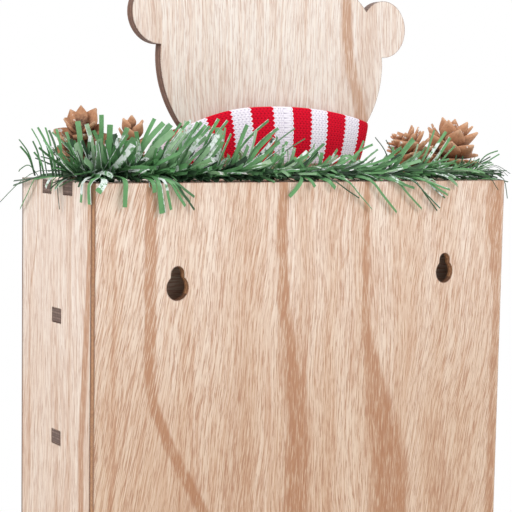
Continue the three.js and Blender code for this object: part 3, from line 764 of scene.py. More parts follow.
def frost_of(kind, rng):
    """How the frost runs along a strip, and how much lies on its edge.

    0 is none, 1 all of it, 2 the tip, 3 one stretch and 4 one long edge.
    """
    start, end = (FROSTY_TIP, 2.0) if kind == 2 else (2.0, 2.0)
    if kind == 3:
        start = rng.uniform(0.25, 0.6)
        end = start + 0.4
    usual = (0.08, FROST, 0.1, 0.15, 0.14)[kind]
    return (lambda share: FROST if start < share < end else usual), 0.8 if kind == 4 else 0.0


def add_bent(skins, points, steps, *look):
    """A strip along the smooth curve from its root through the other points."""
    line, _ = curve_through(points, steps)
    add_strip(skins[slice_of(points[0].x)], [Vector(point) for point in line], *look)


TRIES = 8


def grow_strips(rng, skins, count, span, angles, lengths, width, reach=1.0, dark=0.0, curl=0.0):
    """Strips along the wire's span, which fan out between two angles: 0 is level behind, 180 level in front.

    width is a share of the usual width there, dark takes that share off their green as painted shade, for the
    low strips that stand in for the shade under the garland, and curl bends their ends over where they are
    curly.
    """
    for number in range(count):
        x = GARLAND_HALF_LENGTH * (span[0] + (span[1] - span[0]) * (number + rng.random()) / count)
        root = wire_point(x) + Vector((0, rng.uniform(-1, 1), rng.uniform(-0.4, 1))) * MM
        curly = curl * min(1, max(0.15, (20 * MM - x) / (50 * MM)))
        for _ in range(TRIES):
            angle = math.radians(rng.uniform(*angles))
            lean = profile_at(LEAN, x) * reach + rng.gauss(0, 0.42)
            low = Vector((1.25 * lean, math.cos(angle), 0.5 * math.sin(angle) + 0.12))
            high = Vector((0.75 * lean, math.cos(angle + 0.2), math.sin(angle) + rng.uniform(-0.6, 0.25)))
            high += Vector((rng.uniform(-1.6, 0.8), rng.uniform(-0.5, 0.7), rng.uniform(-1.6, 0.2))) * curly
            length = rng.uniform(*lengths) * MM
            line = lay_strip(root, low.normalized(), high.normalized(), length)
            highest = profile_at(CEILING, line[-1].x) * MM * rng.uniform(0.75, 1.05)
            height = line[-1].z - TOP
            if height > highest:
                line = lay_strip(root, low.normalized(), high.normalized(), length * highest / height)
            if not any(room_taken(point) for point in line[2:]):
                facing = Vector((rng.gauss(0, 0.5), 1, rng.gauss(0.3, 0.5)))
                ends = max(0, abs(x) / GARLAND_HALF_LENGTH - 0.75) / 0.25
                # (1 - dark) takes green off as painted shade for the low strips
                shade = min(1, max(0, rng.gauss(0.42, 0.27))) * (1 - dark) * (1 - 0.5 * ends)
                wide = width * profile_at(BREADTH, line[-1].x) * MM * rng.uniform(0.7, 1.25)
                kind = rng.choices((0, 1, 2, 3, 4), (62, 5, 8, 13, 12))[0] if not dark else 0
                frost, edge = frost_of(kind, rng)
                twist = rng.gauss(0, 0.6 + curly)
                add_strip(skins[slice_of(x)], line, wide, facing, twist, shade, frost, edge)
                break


def slice_of(x):
    return min(SLICES - 1, max(0, int((x + GARLAND_HALF_LENGTH) / SLICE_LENGTH)))


# Strips that stand out behind, in millimetres: X of the root, X, Y and height of the tip, and width, then
# green and kind of frost. Some bend aside, by the X and height that come last, from the usual course, which
# rises and then leans.
MIDDLE_LEAN = 0.45
MIDDLE_RISE = 0.61
UPRIGHTS = [
    (101, 113, -32, -11.5, 0.3, 0.05, 0, 1.5, 9), (94, 95, 20, 24.5, 2, 0.35, 0),
    (100.5, 102.5, 16, 22, 2.3, 0.5, 0), (95.5, 100, 18, 21, 1.9, 0.75, 4),
    (91.5, 92.5, 22, 21, 2.5, 0.35, 0), (94.5, 99.5, 26, 15.5, 3.2, 0.6, 4), (89, 86.5, 24, 20, 2.3, 0.5, 3),
    (89, 85, 26, 16.5, 2.8, 0.5, 0), (81, 72.5, 20, 23.5, 1.7, 0.3, 0), (83, 71, 24, 22, 2.3, 0.5, 0),
    (79, 65.5, 20, 21.5, 2.6, 0.2, 4), (80.5, 68.5, 27, 19, 2.8, 0.6, 0), (83.5, 83, 27, 11, 3.4, 0.6, 1),
    (85.5, 89, 25, 10, 3, 0.5, 3), (70.5, 70.5, 27, 11.5, 2.4, 0.7, 3), (73, 75.5, 26, 8.5, 2.6, 0.3, 3),
    (98, 106.5, 22, 14, 2.6, 0.7, 0, 1.5, -0.5), (96, 105, 26, 8, 3, 0.6, 0), (102, 103, 14, 15, 1.6, 0.4, 0),
    (103, 104, 10, 18, 1.4, 0.45, 0), (86.5, 88.5, 18, 13, 2, 0.3, 0), (75.5, 78, 28, 4.5, 2.6, 0.6, 0),
    (68, 64.5, 28, 6, 2.2, 0.6, 3), (76, 81, 31, -1, 2, 0.55, 1), (115.5, 120, 4, 15, 0.7, 0.1, 0),
    (115.5, 119.5, 4, 12.5, 0.9, 0.15, 0), (111.5, 116, 6, 19, 0.6, 0.2, 4),
    (113.5, 115, 5, 14.5, 0.7, 0.1, 0), (109.5, 113.5, 6, 19.5, 0.9, 0.2, 0),
    (109.5, 111.5, 8, 19.5, 0.9, 0.35, 0), (107.5, 110, 8, 18.5, 1, 0.05, 0),
    (106.5, 108, 10, 19, 1.1, 0.3, 0), (108.5, 112.5, 9, 15, 1.2, 0.3, 4),
    (114.5, 121.5, 6, 3.5, 0.4, 0.1, 0, 0.5, 3), (112.5, 115, 6, 10.5, 0.8, 0.2, 0),
    (62.5, 59.5, 21, 23, 1.1, 0.8, 3), (61.5, 58, 22, 23.5, 1, 0.8, 1),
    (60.5, 55, 23, 21.5, 1.2, 0.85, 3, 1.5, 2), (60, 55, 25, 17.5, 1.3, 0.7, 3, 1.5, 0.5),
    (63.5, 63.5, 24, 16.5, 1.6, 0.5, 0), (56, 46.5, 24, 24, 2, 0.45, 4), (54.5, 41, 22, 23.5, 1.7, 0.35, 4),
    (51.5, 45, 25, 18, 2.1, 0.5, 0), (46.5, 42, 26, 18.5, 1.6, 0.55, 4), (47.5, 48.5, 27, 13, 2.2, 0.5, 3),
    (39.5, 32.5, 23, 22, 2.6, 0.4, 0), (40, 35.5, 25, 18.5, 2, 0.55, 0), (43, 23, 24, 24, 1.9, 0.4, 4),
    (36.5, 17.5, 23, 21, 2.2, 0.35, 4), (34.5, 23, 26, 18, 2, 0.55, 0), (32, 18, 25, 15.5, 1.9, 0.45, 0),
    (30, 8.5, 22, 21, 0.9, 0.25, 0), (24, 2.5, 21, 17, 0.8, 0.2, 0), (34.5, 30, 27, 12.5, 2.3, 0.6, 0),
    (27, 21, 27, 11, 2, 0.5, 3, -0.5, -2), (30, 22.5, 26, 13, 1.9, 0.65, 0),
    (20, 17, 26, 14.5, 1.5, 0.4, 0, -1.5, -2.5), (24, 19, 28, 1.5, 2.4, 0.75, 0, 0.5, 1.5),
    (19.5, 15, 28, 2, 2.3, 0.8, 0, 1, 2.5), (10.5, 9.5, 27, 8.5, 1.5, 0.6, 0, -4, -2),
    (17.5, 10.5, 26, 9.5, 1.6, 0.5, 0), (13, 3.5, 24, 12, 2, 0.85, 1), (10.5, -1, 23, 12.5, 1.4, 0.8, 1),
    (6.5, -5, 24, 15, 1.8, 0.3, 0), (-6, -11, 25, 13, 2.6, 0.8, 3), (-2.5, -2.5, 26, 11.5, 2.2, 0.65, 0),
    (-10, -18.5, 27, 8, 1.7, 0.75, 0, -0.5, 4.5), (2.5, -13, 28, 1.5, 1.7, 0.7, 0, 3, 4.5),
    (5.5, -1, 28, 1.5, 1.6, 0.6, 0, 0, 2.5), (-12.5, -29, 26, 6, 2, 0.8, 1, -0.5, 2.5),
    (-15.5, -31.5, 27, 6, 1.6, 0.6, 0), (-16.5, -27.5, 22, 16.5, 1.4, 0.4, 0, -0.5, -2.5),
    (-18, -31.5, 23, 15, 1.5, 0.55, 0, 2, 1), (-21.5, -33.5, 24, 13, 1.3, 0.35, 4),
    (-43.5, -37, 18, 18, 0.7, 0.1, 0), (-46, -43, 18, 17, 0.7, 0.1, 0), (-32.5, -46.5, 24, 14, 2.2, 0.4, 0),
    (-34.5, -46.5, 26, 12, 2.2, 0.5, 4), (-42.5, -55, 22, 17.5, 3.6, 0.45, 0),
    (-46, -56.5, 25, 11.5, 1.4, 0.3, 0), (-39, -55, 27, 8.5, 2.4, 0.75, 0), (-38, -47, 28, 6, 2, 0.6, 3),
    (-56, -65, 24, 21.5, 1.9, 0.75, 0, -0.5, -3), (-58, -72, 24, 21, 2.1, 0.55, 3, 0, -2),
    (-60.5, -73.5, 25, 18.5, 2.2, 0.6, 4, -0.5, -2.5), (-63, -67.5, 26, 13, 1.8, 0.5, 3, 1, -2),
    (-65.5, -77.5, 24, 15, 1.3, 0.5, 0, -2.5, 1), (-70.5, -65.5, 27, 9, 2, 0.85, 1),
    (-80, -80.5, 22, 11, 1.1, 0.15, 0), (-84.5, -84.5, 22, 10.5, 1.1, 0.15, 0),
    (-87.5, -89.5, 22, 9.5, 1, 0.2, 0), (-97, -104, 24, 13, 0.9, 0.4, 0, 1, 1.5),
    (-97, -105, 24, 11.5, 0.9, 0.45, 0), (-99, -102.5, 22, 7.5, 0.8, 0.3, 3, 0.5, 2),
    (-104.5, -115, 20, 1.5, 0.3, 0.1, 0, 0, 4), (-104.5, -116.5, 20, 2.5, 0.3, 0.1, 0, 1, 4),
]


# The frosty tuft at the scarf's left end: places of the roots and of the tips, and heights of the tips
TUFT_ROOTS = (62, 73)
TUFT_TIPS = (50, 65)
TUFT_HEIGHTS = (14, 23)
TUFT_STRIPS = 22


def add_tuft(rng, skins):
    for number in range(TUFT_STRIPS):
        share = (number + rng.random()) / TUFT_STRIPS
        root = wire_point((TUFT_ROOTS[0] + (TUFT_ROOTS[1] - TUFT_ROOTS[0]) * share) * MM)
        x = (TUFT_TIPS[0] + (TUFT_TIPS[1] - TUFT_TIPS[0]) * share + rng.gauss(0, 1.2)) * MM
        tip = Vector((x, rng.uniform(21, 28) * MM, TOP + rng.uniform(*TUFT_HEIGHTS) * MM))
        middle = (root + tip) / 2 + Vector((rng.uniform(0, 2), rng.uniform(-0.5, 1.5), 1)) * MM
        frost, edge = frost_of(rng.choice((0, 1, 3, 3, 4)), rng)
        add_bent(skins, (root, middle, tip), 9, rng.uniform(0.8, 1.5) * MM, Vector((0.1, 1, 0.2)),
                 rng.gauss(0, 0.4), rng.uniform(0.3, 0.85), frost, edge)


# The strips are broader and lighter from this X on, towards the bear's left
BROAD_FROM = 56


def add_uprights(rng, skins):
    for root_x, x, y, height, width, shade, kind, *bend in UPRIGHTS:
        aside, up = bend or (0, 0)
        root = wire_point(root_x * MM)
        tip = Vector((x, y, 0)) * MM + Vector((0, 0, TOP + height * MM))
        middle = Vector((
            root.x + MIDDLE_LEAN * (tip.x - root.x) + aside * MM,
            (root.y + tip.y) / 2 + MM,
            root.z + MIDDLE_RISE * (tip.z - root.z) + up * MM,
        ))
        frost, edge = frost_of(kind, rng)
        facing = Vector((rng.gauss(0.15, 0.15), 1, 0.2))
        broad = root_x > BROAD_FROM
        wide = width * (0.85 if broad else 0.62) * MM
        shade = min(1, shade + 0.12) if broad else 0.85 * shade
        add_bent(skins, (root, middle, tip), 11, wide, facing, rng.gauss(0, 0.35), shade, frost, edge)


# Strips that hang over an edge: place of the root and of the tip along it, drop, width, green and kind of
# frost. Along the rear edge the places are X, along the left side Y.
HANGING_BACK = [
    (98.6, 102.5, 3.2, 2.4, 0.55, 3), (91, 91.8, 8.6, 2.2, 0.55, 0), (78, 76.2, 11.2, 1.9, 0.5, 0),
    (78, 74.8, 10.9, 1.2, 0.7, 4), (75.5, 72.1, 9.9, 1.2, 0.5, 3), (75, 66, 8.6, 1.2, 0.6, 0),
    (74.5, 63.8, 7.2, 1.1, 0.45, 0), (73.8, 61.7, 5.3, 1, 0.3, 0), (74, 61.6, 10.1, 0.9, 0.15, 0),
    (80, 79, 3.5, 1.8, 0.55, 0), (9.4, 17.5, 5.6, 1.7, 0.6, 0), (7.4, 5.3, 2, 1.6, 0.6, 0),
    (-0.5, -5.4, 2.6, 1.6, 0.55, 0), (0.5, -17.5, 6.7, 0.5, 0.1, 0), (-6, -24.8, 11.4, 1.4, 0.5, 4),
    (-18, -38.2, 13, 1.7, 0.55, 0), (-31, -52.1, 11.8, 1.6, 0.5, 0), (-40, -62.8, 11.6, 0.9, 0.2, 4),
    (-42, -61.3, 12.7, 0.8, 0.15, 0), (-48, -67.8, 3.8, 1.3, 0.55, 4), (-48, -66.9, 6.1, 1.4, 0.5, 0),
    (-49, -65.2, 7.3, 0.9, 0.2, 3), (-31, -48, 3, 1.4, 0.35, 0), (-91.5, -97.3, 4.2, 0.35, 0.1, 0),
    (-100, -103.3, 8, 0.4, 0.1, 0), (-67.5, -72.8, 2.2, 2.2, 0.85, 3), (-36, -42, 1.5, 2.2, 0.85, 3),
]
OVER_SIDE_FROM = 97 * MM
HANGING_LEFT = [
    (-10, -28.2, 12.2, 0.9, 0.55, 0), (-8, -34.6, 1.6, 0.6, 0.1, 0),
    (-8, -35, 3.4, 0.7, 0.15, 0), (-2, -6.5, 3, 1.2, 0.8, 1), (10, 1, 3.4, 1.2, 0.75, 4),
    (2, 5.1, 10.6, 0.7, 0.05, 0), (23.3, 22.6, 7.2, 1.7, 0.5, 3), (28.6, 28.2, 7.6, 1.9, 0.6, 4),
    (0, -2, 4, 0.6, 0.4, 0),
]


def add_hanging(rng, skins):
    x_way, y_way = Vector((1, 0, 0)), Vector((0, 1, 0))
    for over_side, strips in ((False, HANGING_BACK), (True, HANGING_LEFT)):
        along, ahead = (y_way, x_way) if over_side else (x_way, y_way)
        edge = Vector((HALF_WIDTH, 0, TOP) if over_side else (0, HALF_DEPTH, TOP))
        for root, tip, drop, width, shade, kind in strips:
            start = wire_point(OVER_SIDE_FROM if over_side else (root + 0.25 * (root - tip)) * MM)
            # How far each point lies on the strip's way from root to tip, out from the edge and above it
            course = (
                (0.0, -2.5, rng.uniform(1.2, 2.4)),
                (0.3, 1.2, 0.3),
                (0.65, 1.6, -0.5 * drop),
                (1.0, rng.uniform(1.2, 1.9), -drop),
            )
            points = [start] + [
                edge + (along * (root + (tip - root) * share) + ahead * out + Vector((0, 0, rise))) * MM
                for share, out, rise in course
            ]
            frost, white = frost_of(kind, rng)
            wide = width * (1 if start.x > 0 else 0.8) * MM
            facing = ahead + Vector((0, 0, 0.5))
            # 0.8 of the green is painted shade, darkening the strips that hang down over the edge
            add_bent(skins, points, 13, wide, facing, rng.gauss(0, 0.2), 0.8 * shade, frost, white)


END_NEEDLES = 44


def add_end_tufts(rng, skins):
    """Thin dark needles where the wire's ends are cut."""
    for end in (-1, 1):
        for _ in range(END_NEEDLES):
            x = end * rng.uniform(0.87, 0.98) * GARLAND_HALF_LENGTH
            root = wire_point(x)
            rise = rng.uniform(-0.4, 0.9) if end > 0 else rng.uniform(-0.3, 0.45)
            heading = Vector((end * rng.uniform(0.3, 1.2), rng.gauss(-0.1, 0.8), rise)).normalized()
            droop = Vector((end * 0.8, heading.y, rise - rng.uniform(0.1, 0.8))).normalized()
            line = lay_strip(root, heading, droop, rng.uniform(9, 16) * MM)
            add_strip(skins[slice_of(x)], line, rng.uniform(0.3, 0.7) * MM, Vector((0, 1, 0.5)), 0.4,
                      rng.uniform(0.0, 0.35), lambda share: 0.15)


WIRE_STRAND = 0.55 * MM
WIRE_STEP = 0.8 * MM
WIRE_TWIST = 5 * MM


def add_wire(skin, start, end):
    """Two strands twisted together."""
    section = circle(6)
    count = max(2, round((end - start) / WIRE_STEP))
    for strand in (0, math.pi):
        rings = []
        for step in range(count + 1):
            x = start + (end - start) * step / count
            phase = strand + x / WIRE_TWIST * 2 * math.pi
            centre = wire_point(x) + Vector((0, math.cos(phase), math.sin(phase))) * WIRE_STRAND
            rings += [centre + Vector((0, c, s)) * WIRE_STRAND for c, s in section]
        skin.add(rings, tube_faces(count + 1, len(section)))


# Layers of strips: count, span, angles, lengths and width, and what differs from the usual
LAYERS = [
    (70, (-0.95, 0.95), (55, 110), (17, 26), 1.0, dict(curl=0.5)),
    (90, (-0.96, 0.96), (20, 65), (12, 20), 1.0, dict(curl=0.8)),
    (120, (-0.96, 0.96), (115, 178), (13, 21), 1.0, dict(curl=0.4)),
    (210, (-0.97, 0.97), (0, 180), (7, 14), 0.9, dict(reach=0.8, curl=1.0)),
    # The two lowest layers are darkened by dark: a mat of strips painted as the shade under the garland
    (200, (-0.96, 0.96), (-5, 50), (6, 11), 0.8, dict(reach=0.8, dark=0.5, curl=0.6)),
    (280, (-0.96, 0.96), (-30, 0), (6, 9.5), 0.8, dict(reach=0.6, dark=0.85)),
    (34, (0.7, 0.98), (40, 95), (12, 21), 1.1, dict(reach=0.7)),
]


def add_garland():
    rng = random.Random(24)
    skins = [Skin() for _ in range(SLICES)]
    for *layer, differences in LAYERS:
        grow_strips(rng, skins, *layer, **differences)
    add_uprights(rng, skins)
    add_tuft(rng, skins)
    add_hanging(rng, skins)
    add_end_tufts(rng, skins)
    for number, skin in enumerate(skins, 1):
        add_piece(f"garland_strips_{number}", skin.points, skin.faces, NEEDLE,
                  replaces=(f"garland_{number}",), attributes=skin.values, crease=0.9)
        wire = Skin()
        end = number * SLICE_LENGTH - GARLAND_HALF_LENGTH
        add_wire(wire, end - SLICE_LENGTH, end)
        add_piece(f"garland_wire_{number}", wire.points, wire.faces, WIRE)


# Pine cones

SCALE_BROADEST = 0.58
SCALE_THICKNESS = 0.9 * MM


def cone_scale(length, width, thick, curl, cup):
    """One woody scale along +Y from the origin: narrow at its root, broad halfway and pointed at its tip."""
    rows, columns = 8, 5
    v, u = np.meshgrid(np.linspace(0, 1, rows), np.linspace(-1, 1, columns), indexing="ij")
    broad = 0.34 + 0.66 * np.sin(0.5 * math.pi * np.minimum(1, v / SCALE_BROADEST))
    broad *= 1 - 0.86 * np.clip((v - SCALE_BROADEST) / (1 - SCALE_BROADEST), 0, 1) ** 1.35
    x = 0.5 * width * broad * u
    y = length * (v - 0.05 * u * u * v)
    z = curl * length * v ** 2.4 + cup * width * broad * u * u * 0.5
    sheet = 0.5 * thick * (1 - 0.55 * v)
    keel = 0.4 * thick * (1 - u * u) * v
    points = np.stack([[x, x], [y, y], [z + sheet, z - sheet - keel]], axis=-1).reshape(-1, 3)
    half = rows * columns
    faces = []
    for row in range(rows - 1):
        for column in range(columns - 1):
            a = row * columns + column
            b = a + columns
            faces.append((a, a + 1, b + 1, b))
            faces.append((half + a, half + b, half + b + 1, half + a + 1))
    edge = (
        [(row + 1) * columns - 1 for row in range(rows)]
        + [(rows - 1) * columns + column for column in range(columns - 2, -1, -1)]
        + [row * columns for row in range(rows - 2, -1, -1)]
        + list(range(1, columns - 1))
    )
    for a, b in zip(edge, edge[1:] + edge[:1]):
        faces.append((b, a, half + a, half + b))
    return points, faces, np.tile(v.ravel(), 2)


# Each cone: scales, tilt and heading of its axis, how far the scales open, and their width
CONE_SHAPES = {
    "pine_cone_left_outer": (22, 0.6, 2.6, 0.72, 0.92),
    "pine_cone_left_inner": (22, 0.3, -0.6, 0.78, 0.85),
    "pine_cone_right_inner": (44, 0.45, 0.9, 0.62, 0.72),
    "pine_cone_right_outer": (32, 0.35, -1.2, 0.85, 0.68),
}


def add_pine_cone(name, seed):
    rng = random.Random(seed)
    count, tilt, heading, opening, broad = CONE_SHAPES[name]
    low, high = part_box(name)
    centre = (low + high) / 2
    size = high - low
    radius = 0.5 * min(size.x, size.y) * 1.06
    length = size.z
    axis = Matrix.Rotation(heading, 4, "Z") @ Matrix.Rotation(tilt, 4, "X")
    skin = Skin()
    core = []
    rings, sides = 7, 10
    for ring in range(rings):
        turn = math.pi * (ring + 0.15) / (rings - 0.7)
        out = 0.3 * radius * math.sin(turn)
        core += [Vector((out * c, out * s, -0.42 * length * math.cos(turn))) for c, s in circle(sides)]
    place = Matrix.Translation(centre) @ axis
    skin.add([place @ point for point in core], tube_faces(rings, sides), reach=0.0)
    for number in range(count):
        share = (number + 0.5) / count
        spin = number * math.pi * (3 - math.sqrt(5)) + rng.gauss(0, 0.08)
        profile = math.sin(math.pi * (0.2 + 0.72 * share)) ** 0.7
        reach = radius * (0.5 + 0.5 * profile) * rng.uniform(0.92, 1.08)
        lift = opening * (0.05 + 1.1 * share) - 0.3 * (1 - share) + rng.gauss(0, 0.08)
        width = broad * reach * (1.1 - 0.35 * share)
        points, faces, out = cone_scale(0.95 * reach, width, SCALE_THICKNESS, 0.2, 0.22)
        turn = (
            Matrix.Rotation(spin, 4, "Z")
            @ Matrix.Translation((0, 0.12 * radius, (share - 0.52) * 0.6 * length))
            @ Matrix.Rotation(lift, 4, "X")
        )
        skin.add([place @ turn @ Vector(point) for point in points], faces, reach=out)
    points = np.array(skin.points)
    own_low, own_high = points.min(axis=0), points.max(axis=0)
    points = np.array(low) + (points - own_low) * (np.array(size) / (own_high - own_low))
    add_piece(name + "_scales", points, skin.faces, CONE, replaces=(name,),
              attributes=skin.values, crease=1.0)


# Front: face, drawers, knobs and numbers


def rounded_disc(name, node, material, rounding):
    """A disc in the node's box whose front corner is rounded over."""
    low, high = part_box(node)
    centre, half = (low + high) / 2, (high - low) / 2
    steps = 7
    section = circle(64)
    profile = [(1.0, high.y)]
    for step in range(steps + 1):
        turn = 0.5 * math.pi * step / steps
        inset = rounding * (1 - math.cos(turn)) / min(half.x, half.z)
        profile.append((1 - inset, low.y + rounding * (1 - math.sin(turn))))
    points = [
        (centre.x + share * half.x * c, y, centre.z - share * half.z * s)
        for share, y in profile for c, s in section
    ]
    faces = tube_faces(len(profile), len(section))
    add_piece(name, points, faces, material, replaces=(node,), crease=0.8)


SMILE_RADII = (4.6 * MM, 4.4 * MM)
SMILE_DROP = 2.2 * MM
SMILE_FROM = math.radians(200)
SMILE_SWEEP = math.radians(140)
SMILE_LINE = 0.5 * MM


def add_smile(name, x, y, z):
    """Half of the mouth: a thin burnt line along an arc about X and Z, on the muzzle's front at Y."""
    steps = 28
    section = circle(8)
    points = []
    for step in range(steps + 1):
        turn = SMILE_FROM + SMILE_SWEEP * step / steps
        out = Vector((math.cos(turn), 0, math.sin(turn)))
        middle = Vector((x + SMILE_RADII[0] * out.x, y, z + SMILE_RADII[1] * out.z))
        thick = SMILE_LINE * math.sqrt(max(0.08, math.sin(math.pi * (0.04 + 0.92 * step / steps))))
        points += [middle + out * (thick * c) + Vector((0, 0.3 * SMILE_LINE * s, 0)) for c, s in section]
    add_piece(name, points, tube_faces(steps + 1, len(section)), DARK_WOOD)


def add_face():
    rounded_disc("muzzle_disc", "muzzle", PALE_WOOD, 1.2 * MM)
    rounded_disc("nose_disc", "nose", DARK_WOOD, 1.8 * MM)
    low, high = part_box("muzzle")
    sides = (("left", 1), ("right", -1))
    for side, _ in sides:
        rounded_disc(f"{side}_eye_disc", f"{side}_eye", DARK_WOOD, 1.5 * MM)
        rounded_disc(f"{side}_inner_ear_disc", f"{side}_inner_ear", PALE_WOOD, 1.0 * MM)
    for side, sign in sides:
        add_smile(f"{side}_smile", sign * SMILE_RADII[0], low.y, (low.z + high.z) / 2 - SMILE_DROP)


# Drawers: radius and depth of the turned knob's rings, in millimetres, and sizes of the box
KNOB_PROFILE = [
    (1.6, -8.45), (3.0, -8.1), (4.1, -7.4), (4.8, -6.4), (5.0, -5.3), (4.7, -4.3), (3.9, -3.4),
    (3.0, -2.8), (2.4, -2.2), (2.2, -1.4), (2.35, -0.6), (2.7, 0.0),
]
KNOB_LENGTH = 8.5 * MM
FRONT_BOARD = 3 * MM
FRONT_CHAMFER = 0.35 * MM
TRAY_WALL = 2.5 * MM
TRAY_LIP = 5 * MM
NUMBER_SIZE = 11 * MM
NUMBER_RISE = 8 * MM


def add_box(node, low, high, front, material):
    """A drawer's front board with a chamfered face, and the open tray behind it."""
    skin = Skin()
    joint = front + FRONT_BOARD
    rings = []
    for inset, y in ((0, joint), (0, front + FRONT_CHAMFER), (FRONT_CHAMFER, front)):
        left, right, floor, top = low.x + inset, high.x - inset, low.z + inset, high.z - inset
        rings += [(left, y, floor), (right, y, floor), (right, y, top), (left, y, top)]
    skin.add([Vector(point) for point in rings], tube_faces(3, 4))
    points = []
    for inset in (0, TRAY_WALL):
        left, right, rear = low.x + inset, high.x - inset, high.y - inset
        corners = ((left, joint), (right, joint), (right, rear), (left, rear))
        points += [Vector((*corner, z)) for z in (low.z + inset, high.z - TRAY_LIP) for corner in corners]
    faces = [
        (3, 2, 1, 0), (1, 2, 6, 5), (2, 3, 7, 6), (3, 0, 4, 7), (8, 9, 10, 11), (9, 13, 14, 10),
        (10, 14, 15, 11), (11, 15, 12, 8), (5, 6, 14, 13), (6, 7, 15, 14), (7, 4, 12, 15),
        (0, 1, 9, 8), (1, 5, 13, 9), (4, 0, 8, 12),
    ]
    skin.add(points, faces)
    add_piece(f"{node}_box", skin.points, skin.faces, material, node, (node,), crease=0.5)


def add_number(node, digits, centre, front):
    """A plain number burnt into the front board."""
    text = bpy.data.curves.new(f"{node}_text", "FONT")
    text.body = digits
    text.size = NUMBER_SIZE
    text.align_x = "CENTER"
    text.extrude = 0.12 * MM
    text.resolution_u = 4
    carrier = show(f"{node}_text", text)
    mesh = bpy.data.meshes.new_from_object(carrier)
    bpy.data.objects.remove(carrier)
    points = [(centre.x + v.co.x, front - v.co.z, centre.z + NUMBER_RISE + v.co.y) for v in mesh.vertices]
    faces = [tuple(face.vertices) for face in mesh.polygons]
    add_piece(f"{node}_number", points, faces, DARK_WOOD, node, crease=0.5)


def add_drawer(number):
    """A drawer's front board and tray, a turned knob and a plain number."""
    node = f"drawer_{number}"
    low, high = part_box(node)
    centre = (low + high) / 2
    front = low.y + KNOB_LENGTH
    add_box(node, low, high, front, DRAWER_WOOD[number % 3])
    section = circle(32)
    knob = [
        (centre.x + radius * MM * c, front + y * MM, centre.z - radius * MM * s)
        for radius, y in KNOB_PROFILE for c, s in section
    ]
    faces = [face[::-1] for face in tube_faces(len(KNOB_PROFILE), len(section))]
    add_piece(f"{node}_knob", knob, faces, PALE_WOOD, node, crease=0.7)
    add_number(node, str(number), centre, front)


# Growth bands of the back panel, the left side and the head, in millimetres along each board:
# place, sideways shift, the heights between which it changes, its widths and its strengths there

BACK_STREAKS = [
    (79.5, -36, 218, 125, (5.5, 6.5), (0.9, 0.95)),
    (19.6, -9.5, 262, 178, (5.5, 14), (0.95, 0.9)),
    (-23.6, -17, 240, 152, (4, 24), (0.85, 0.95)),
    (-97.5, -2, 262, 235, (9, 5), (0.9, 0.7)),
    (35, 4, 240, 180, (7, 15), (0.1, 0.4)),
    (-4, -12, 235, 265, (2, 1.5), (0.1, 0.45)),
    (-62, -6, 190, 150, (2, 16), (0.0, 0.4)),
    (60, 0, 200, 150, (8, 26), (0.0, 0.3)),
]
BACK_ZONES = [(-103, 0.17), (-46, 0.02), (24, 0.1), (72, 0.2)]
SIDE_STREAKS = [
    (25.8, -5.6, 275, 175, (4.2, 5), (0.85, 0.85)),
    (-16, -7, 272, 236, (1.2, 1.2), (0.55, 0.5)),
    (0.5, 0, 240, 200, (1.5, 3.5), (0.1, 0.35)),
    (10.6, 0, 250, 200, (1.5, 2.5), (0.25, 0.3)),
]
HEAD_STREAKS = [
    (-36.5, -9, 352, 306, (6.5, 8), (0.8, 0.7)),
    (-48, 0, 340, 300, (12, 12), (0.3, 0.3)),
]


def dress_boards():
    back = plywood("back_plywood", "Z", "Y", 1.0, BACK_STREAKS, BACK_ZONES, depth=1.2, painted_falloff=1.0)
    side = plywood("left_side_plywood", "Z", "X", 5.0, SIDE_STREAKS, edge=TAB_EDGE, pale=0.06, depth=0.9,
                   painted_falloff=0.6, ground=SIDE_GROUND, corner=-30.0)
    other = plywood("upright_plywood", "Z", "X", 9.0, edge=TAB_EDGE, depth=0.85, painted_falloff=0.5)
    level = plywood("level_plywood", "X", "Z", 13.0, edge=TAB_EDGE, depth=0.85)
    head = plywood("head_plywood", "Z", "Y", 17.0, HEAD_STREAKS, edge=HEAD_EDGE, pale=0.14, depth=0.75,
                   ground=HEAD_GROUND)
    finishes = {"back_panel": back, "left_side_panel": side, "head_plate": head}
    for name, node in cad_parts.items():
        if name in finishes:
            material = finishes[name]
        elif name.startswith(("top", "bottom", "shelf")):
            material = level
        else:
            material = other
        node.data.materials.clear()
        node.data.materials.append(material)


# Stage: a plain floor that fades to white, and soft studio light

FLOOR_RADIUS = 3.0
FLOOR_FADE = (220.0, 430.0)
FLOOR_DROP = 0.2 * MM
WORLD_LIGHT = 0.5


def add_stage():
    finish = Finish("floor", 0.9)
    x, y, _ = finish.axes.values()
    far = finish.step(finish.math("SQRT", x * x + y * y), *FLOOR_FADE)
    finish.paint = tone(244, 243, 241)
    finish.coat(tone(250, 250, 250), far)
    material = finish.done()
    shaded = Value(finish, finish.shader.outputs[0])
    white = finish.value("Emission", {"Color": (1, 1, 1, 1), "Strength": 1.0})
    mixed = finish.value("MixShader", {0: finish.in_view() * far, 1: shaded, 2: white})
    finish.tree.links.new(mixed.socket, finish.tree.nodes["Material Output"].inputs["Surface"])
    mesh = bpy.data.meshes.new("floor")
    corners = [(FLOOR_RADIUS * c, FLOOR_RADIUS * s, -FLOOR_DROP) for c, s in circle(48)]
    mesh.from_pydata(corners, [], [tuple(range(len(corners)))])
    mesh.materials.append(material)
    show("floor", mesh)


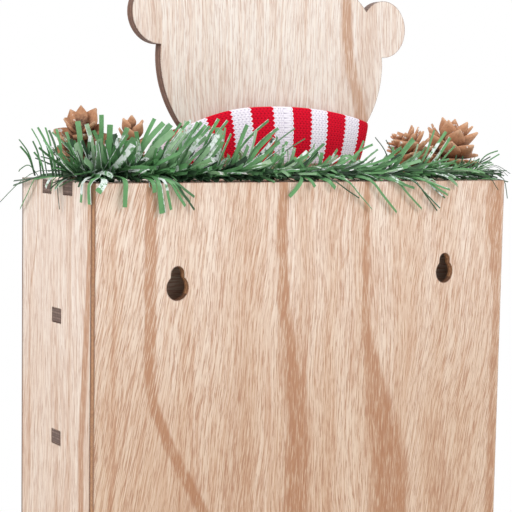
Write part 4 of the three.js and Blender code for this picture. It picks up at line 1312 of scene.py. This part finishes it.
def add_world():
    """White behind the object, and a softer light from all around."""
    world = bpy.data.worlds.new("studio")
    world.use_nodes = True
    nodes = Nodes(world.node_tree)
    nodes.tree.nodes.clear()
    light, white = (
        nodes.value("Background", {"Color": (1, 1, 1, 1), "Strength": strength})
        for strength in (WORLD_LIGHT, 1.0)
    )
    mixed = nodes.value("MixShader", {0: nodes.in_view(), 1: light, 2: white})
    nodes.add("OutputWorld", {0: mixed})
    bpy.context.scene.world = world


LAMP_AIM = Vector((0, 0, 0.2))


def add_lamp(name, place, size, power):
    """A round softbox that points at the middle of the object."""
    data = bpy.data.lights.new(name, "AREA")
    data.shape = "DISK"
    data.size = size
    data.energy = power
    lamp = show(name, data)
    lamp.location = place
    lamp.rotation_euler = (LAMP_AIM - Vector(place)).to_track_quat("-Z", "Y").to_euler()


def add_lamps():
    add_lamp("softbox_left", (1.05, 0.4, 1.0), 0.7, 9)
    add_lamp("softbox_right", (-0.4, 0.85, 1.0), 0.6, 5.5)
    add_lamp("softbox_front", (-0.4, -1.4, 1.0), 1.0, 8.5)


KNIT = knit_finish()
NEEDLE = needle_finish()
WIRE = wire_finish()
CONE = cone_finish()
PALE_WOOD = plain_wood("pale_wood", tone(238, 214, 182), tone(222, 190, 152), 0.5)
DARK_WOOD = plain_wood("dark_wood", tone(62, 38, 28), tone(38, 24, 18), 0.35)
DRAWER_WOOD = [
    plywood(f"drawer_plywood_{k + 1}", "X", "Y", 21.0 + 4 * k, edge=TRAY_WOOD, top_scorch_and_shade=0.0) for k in range(3)
]
CONE_ROOM = [
    ((low + high) / 2, 0.42 * min(high - low)) for low, high in (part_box(name) for name in CONES)
]

add_camera()
dress_boards()
add_band()
add_knot()
add_tail("scarf_tail_left", LEFT_TAIL, 0.0, 0.15, 10.5)
add_tail("scarf_tail_right", RIGHT_TAIL, 0.0, -1.5, 8.0)
add_garland()
for seed, name in enumerate(CONES):
    add_pine_cone(name, seed + 3)
add_face()
for number in range(1, DRAWERS + 1):
    add_drawer(number)
add_stage()
add_world()
add_lamps()
bpy.context.scene.view_settings.view_transform = "Standard"
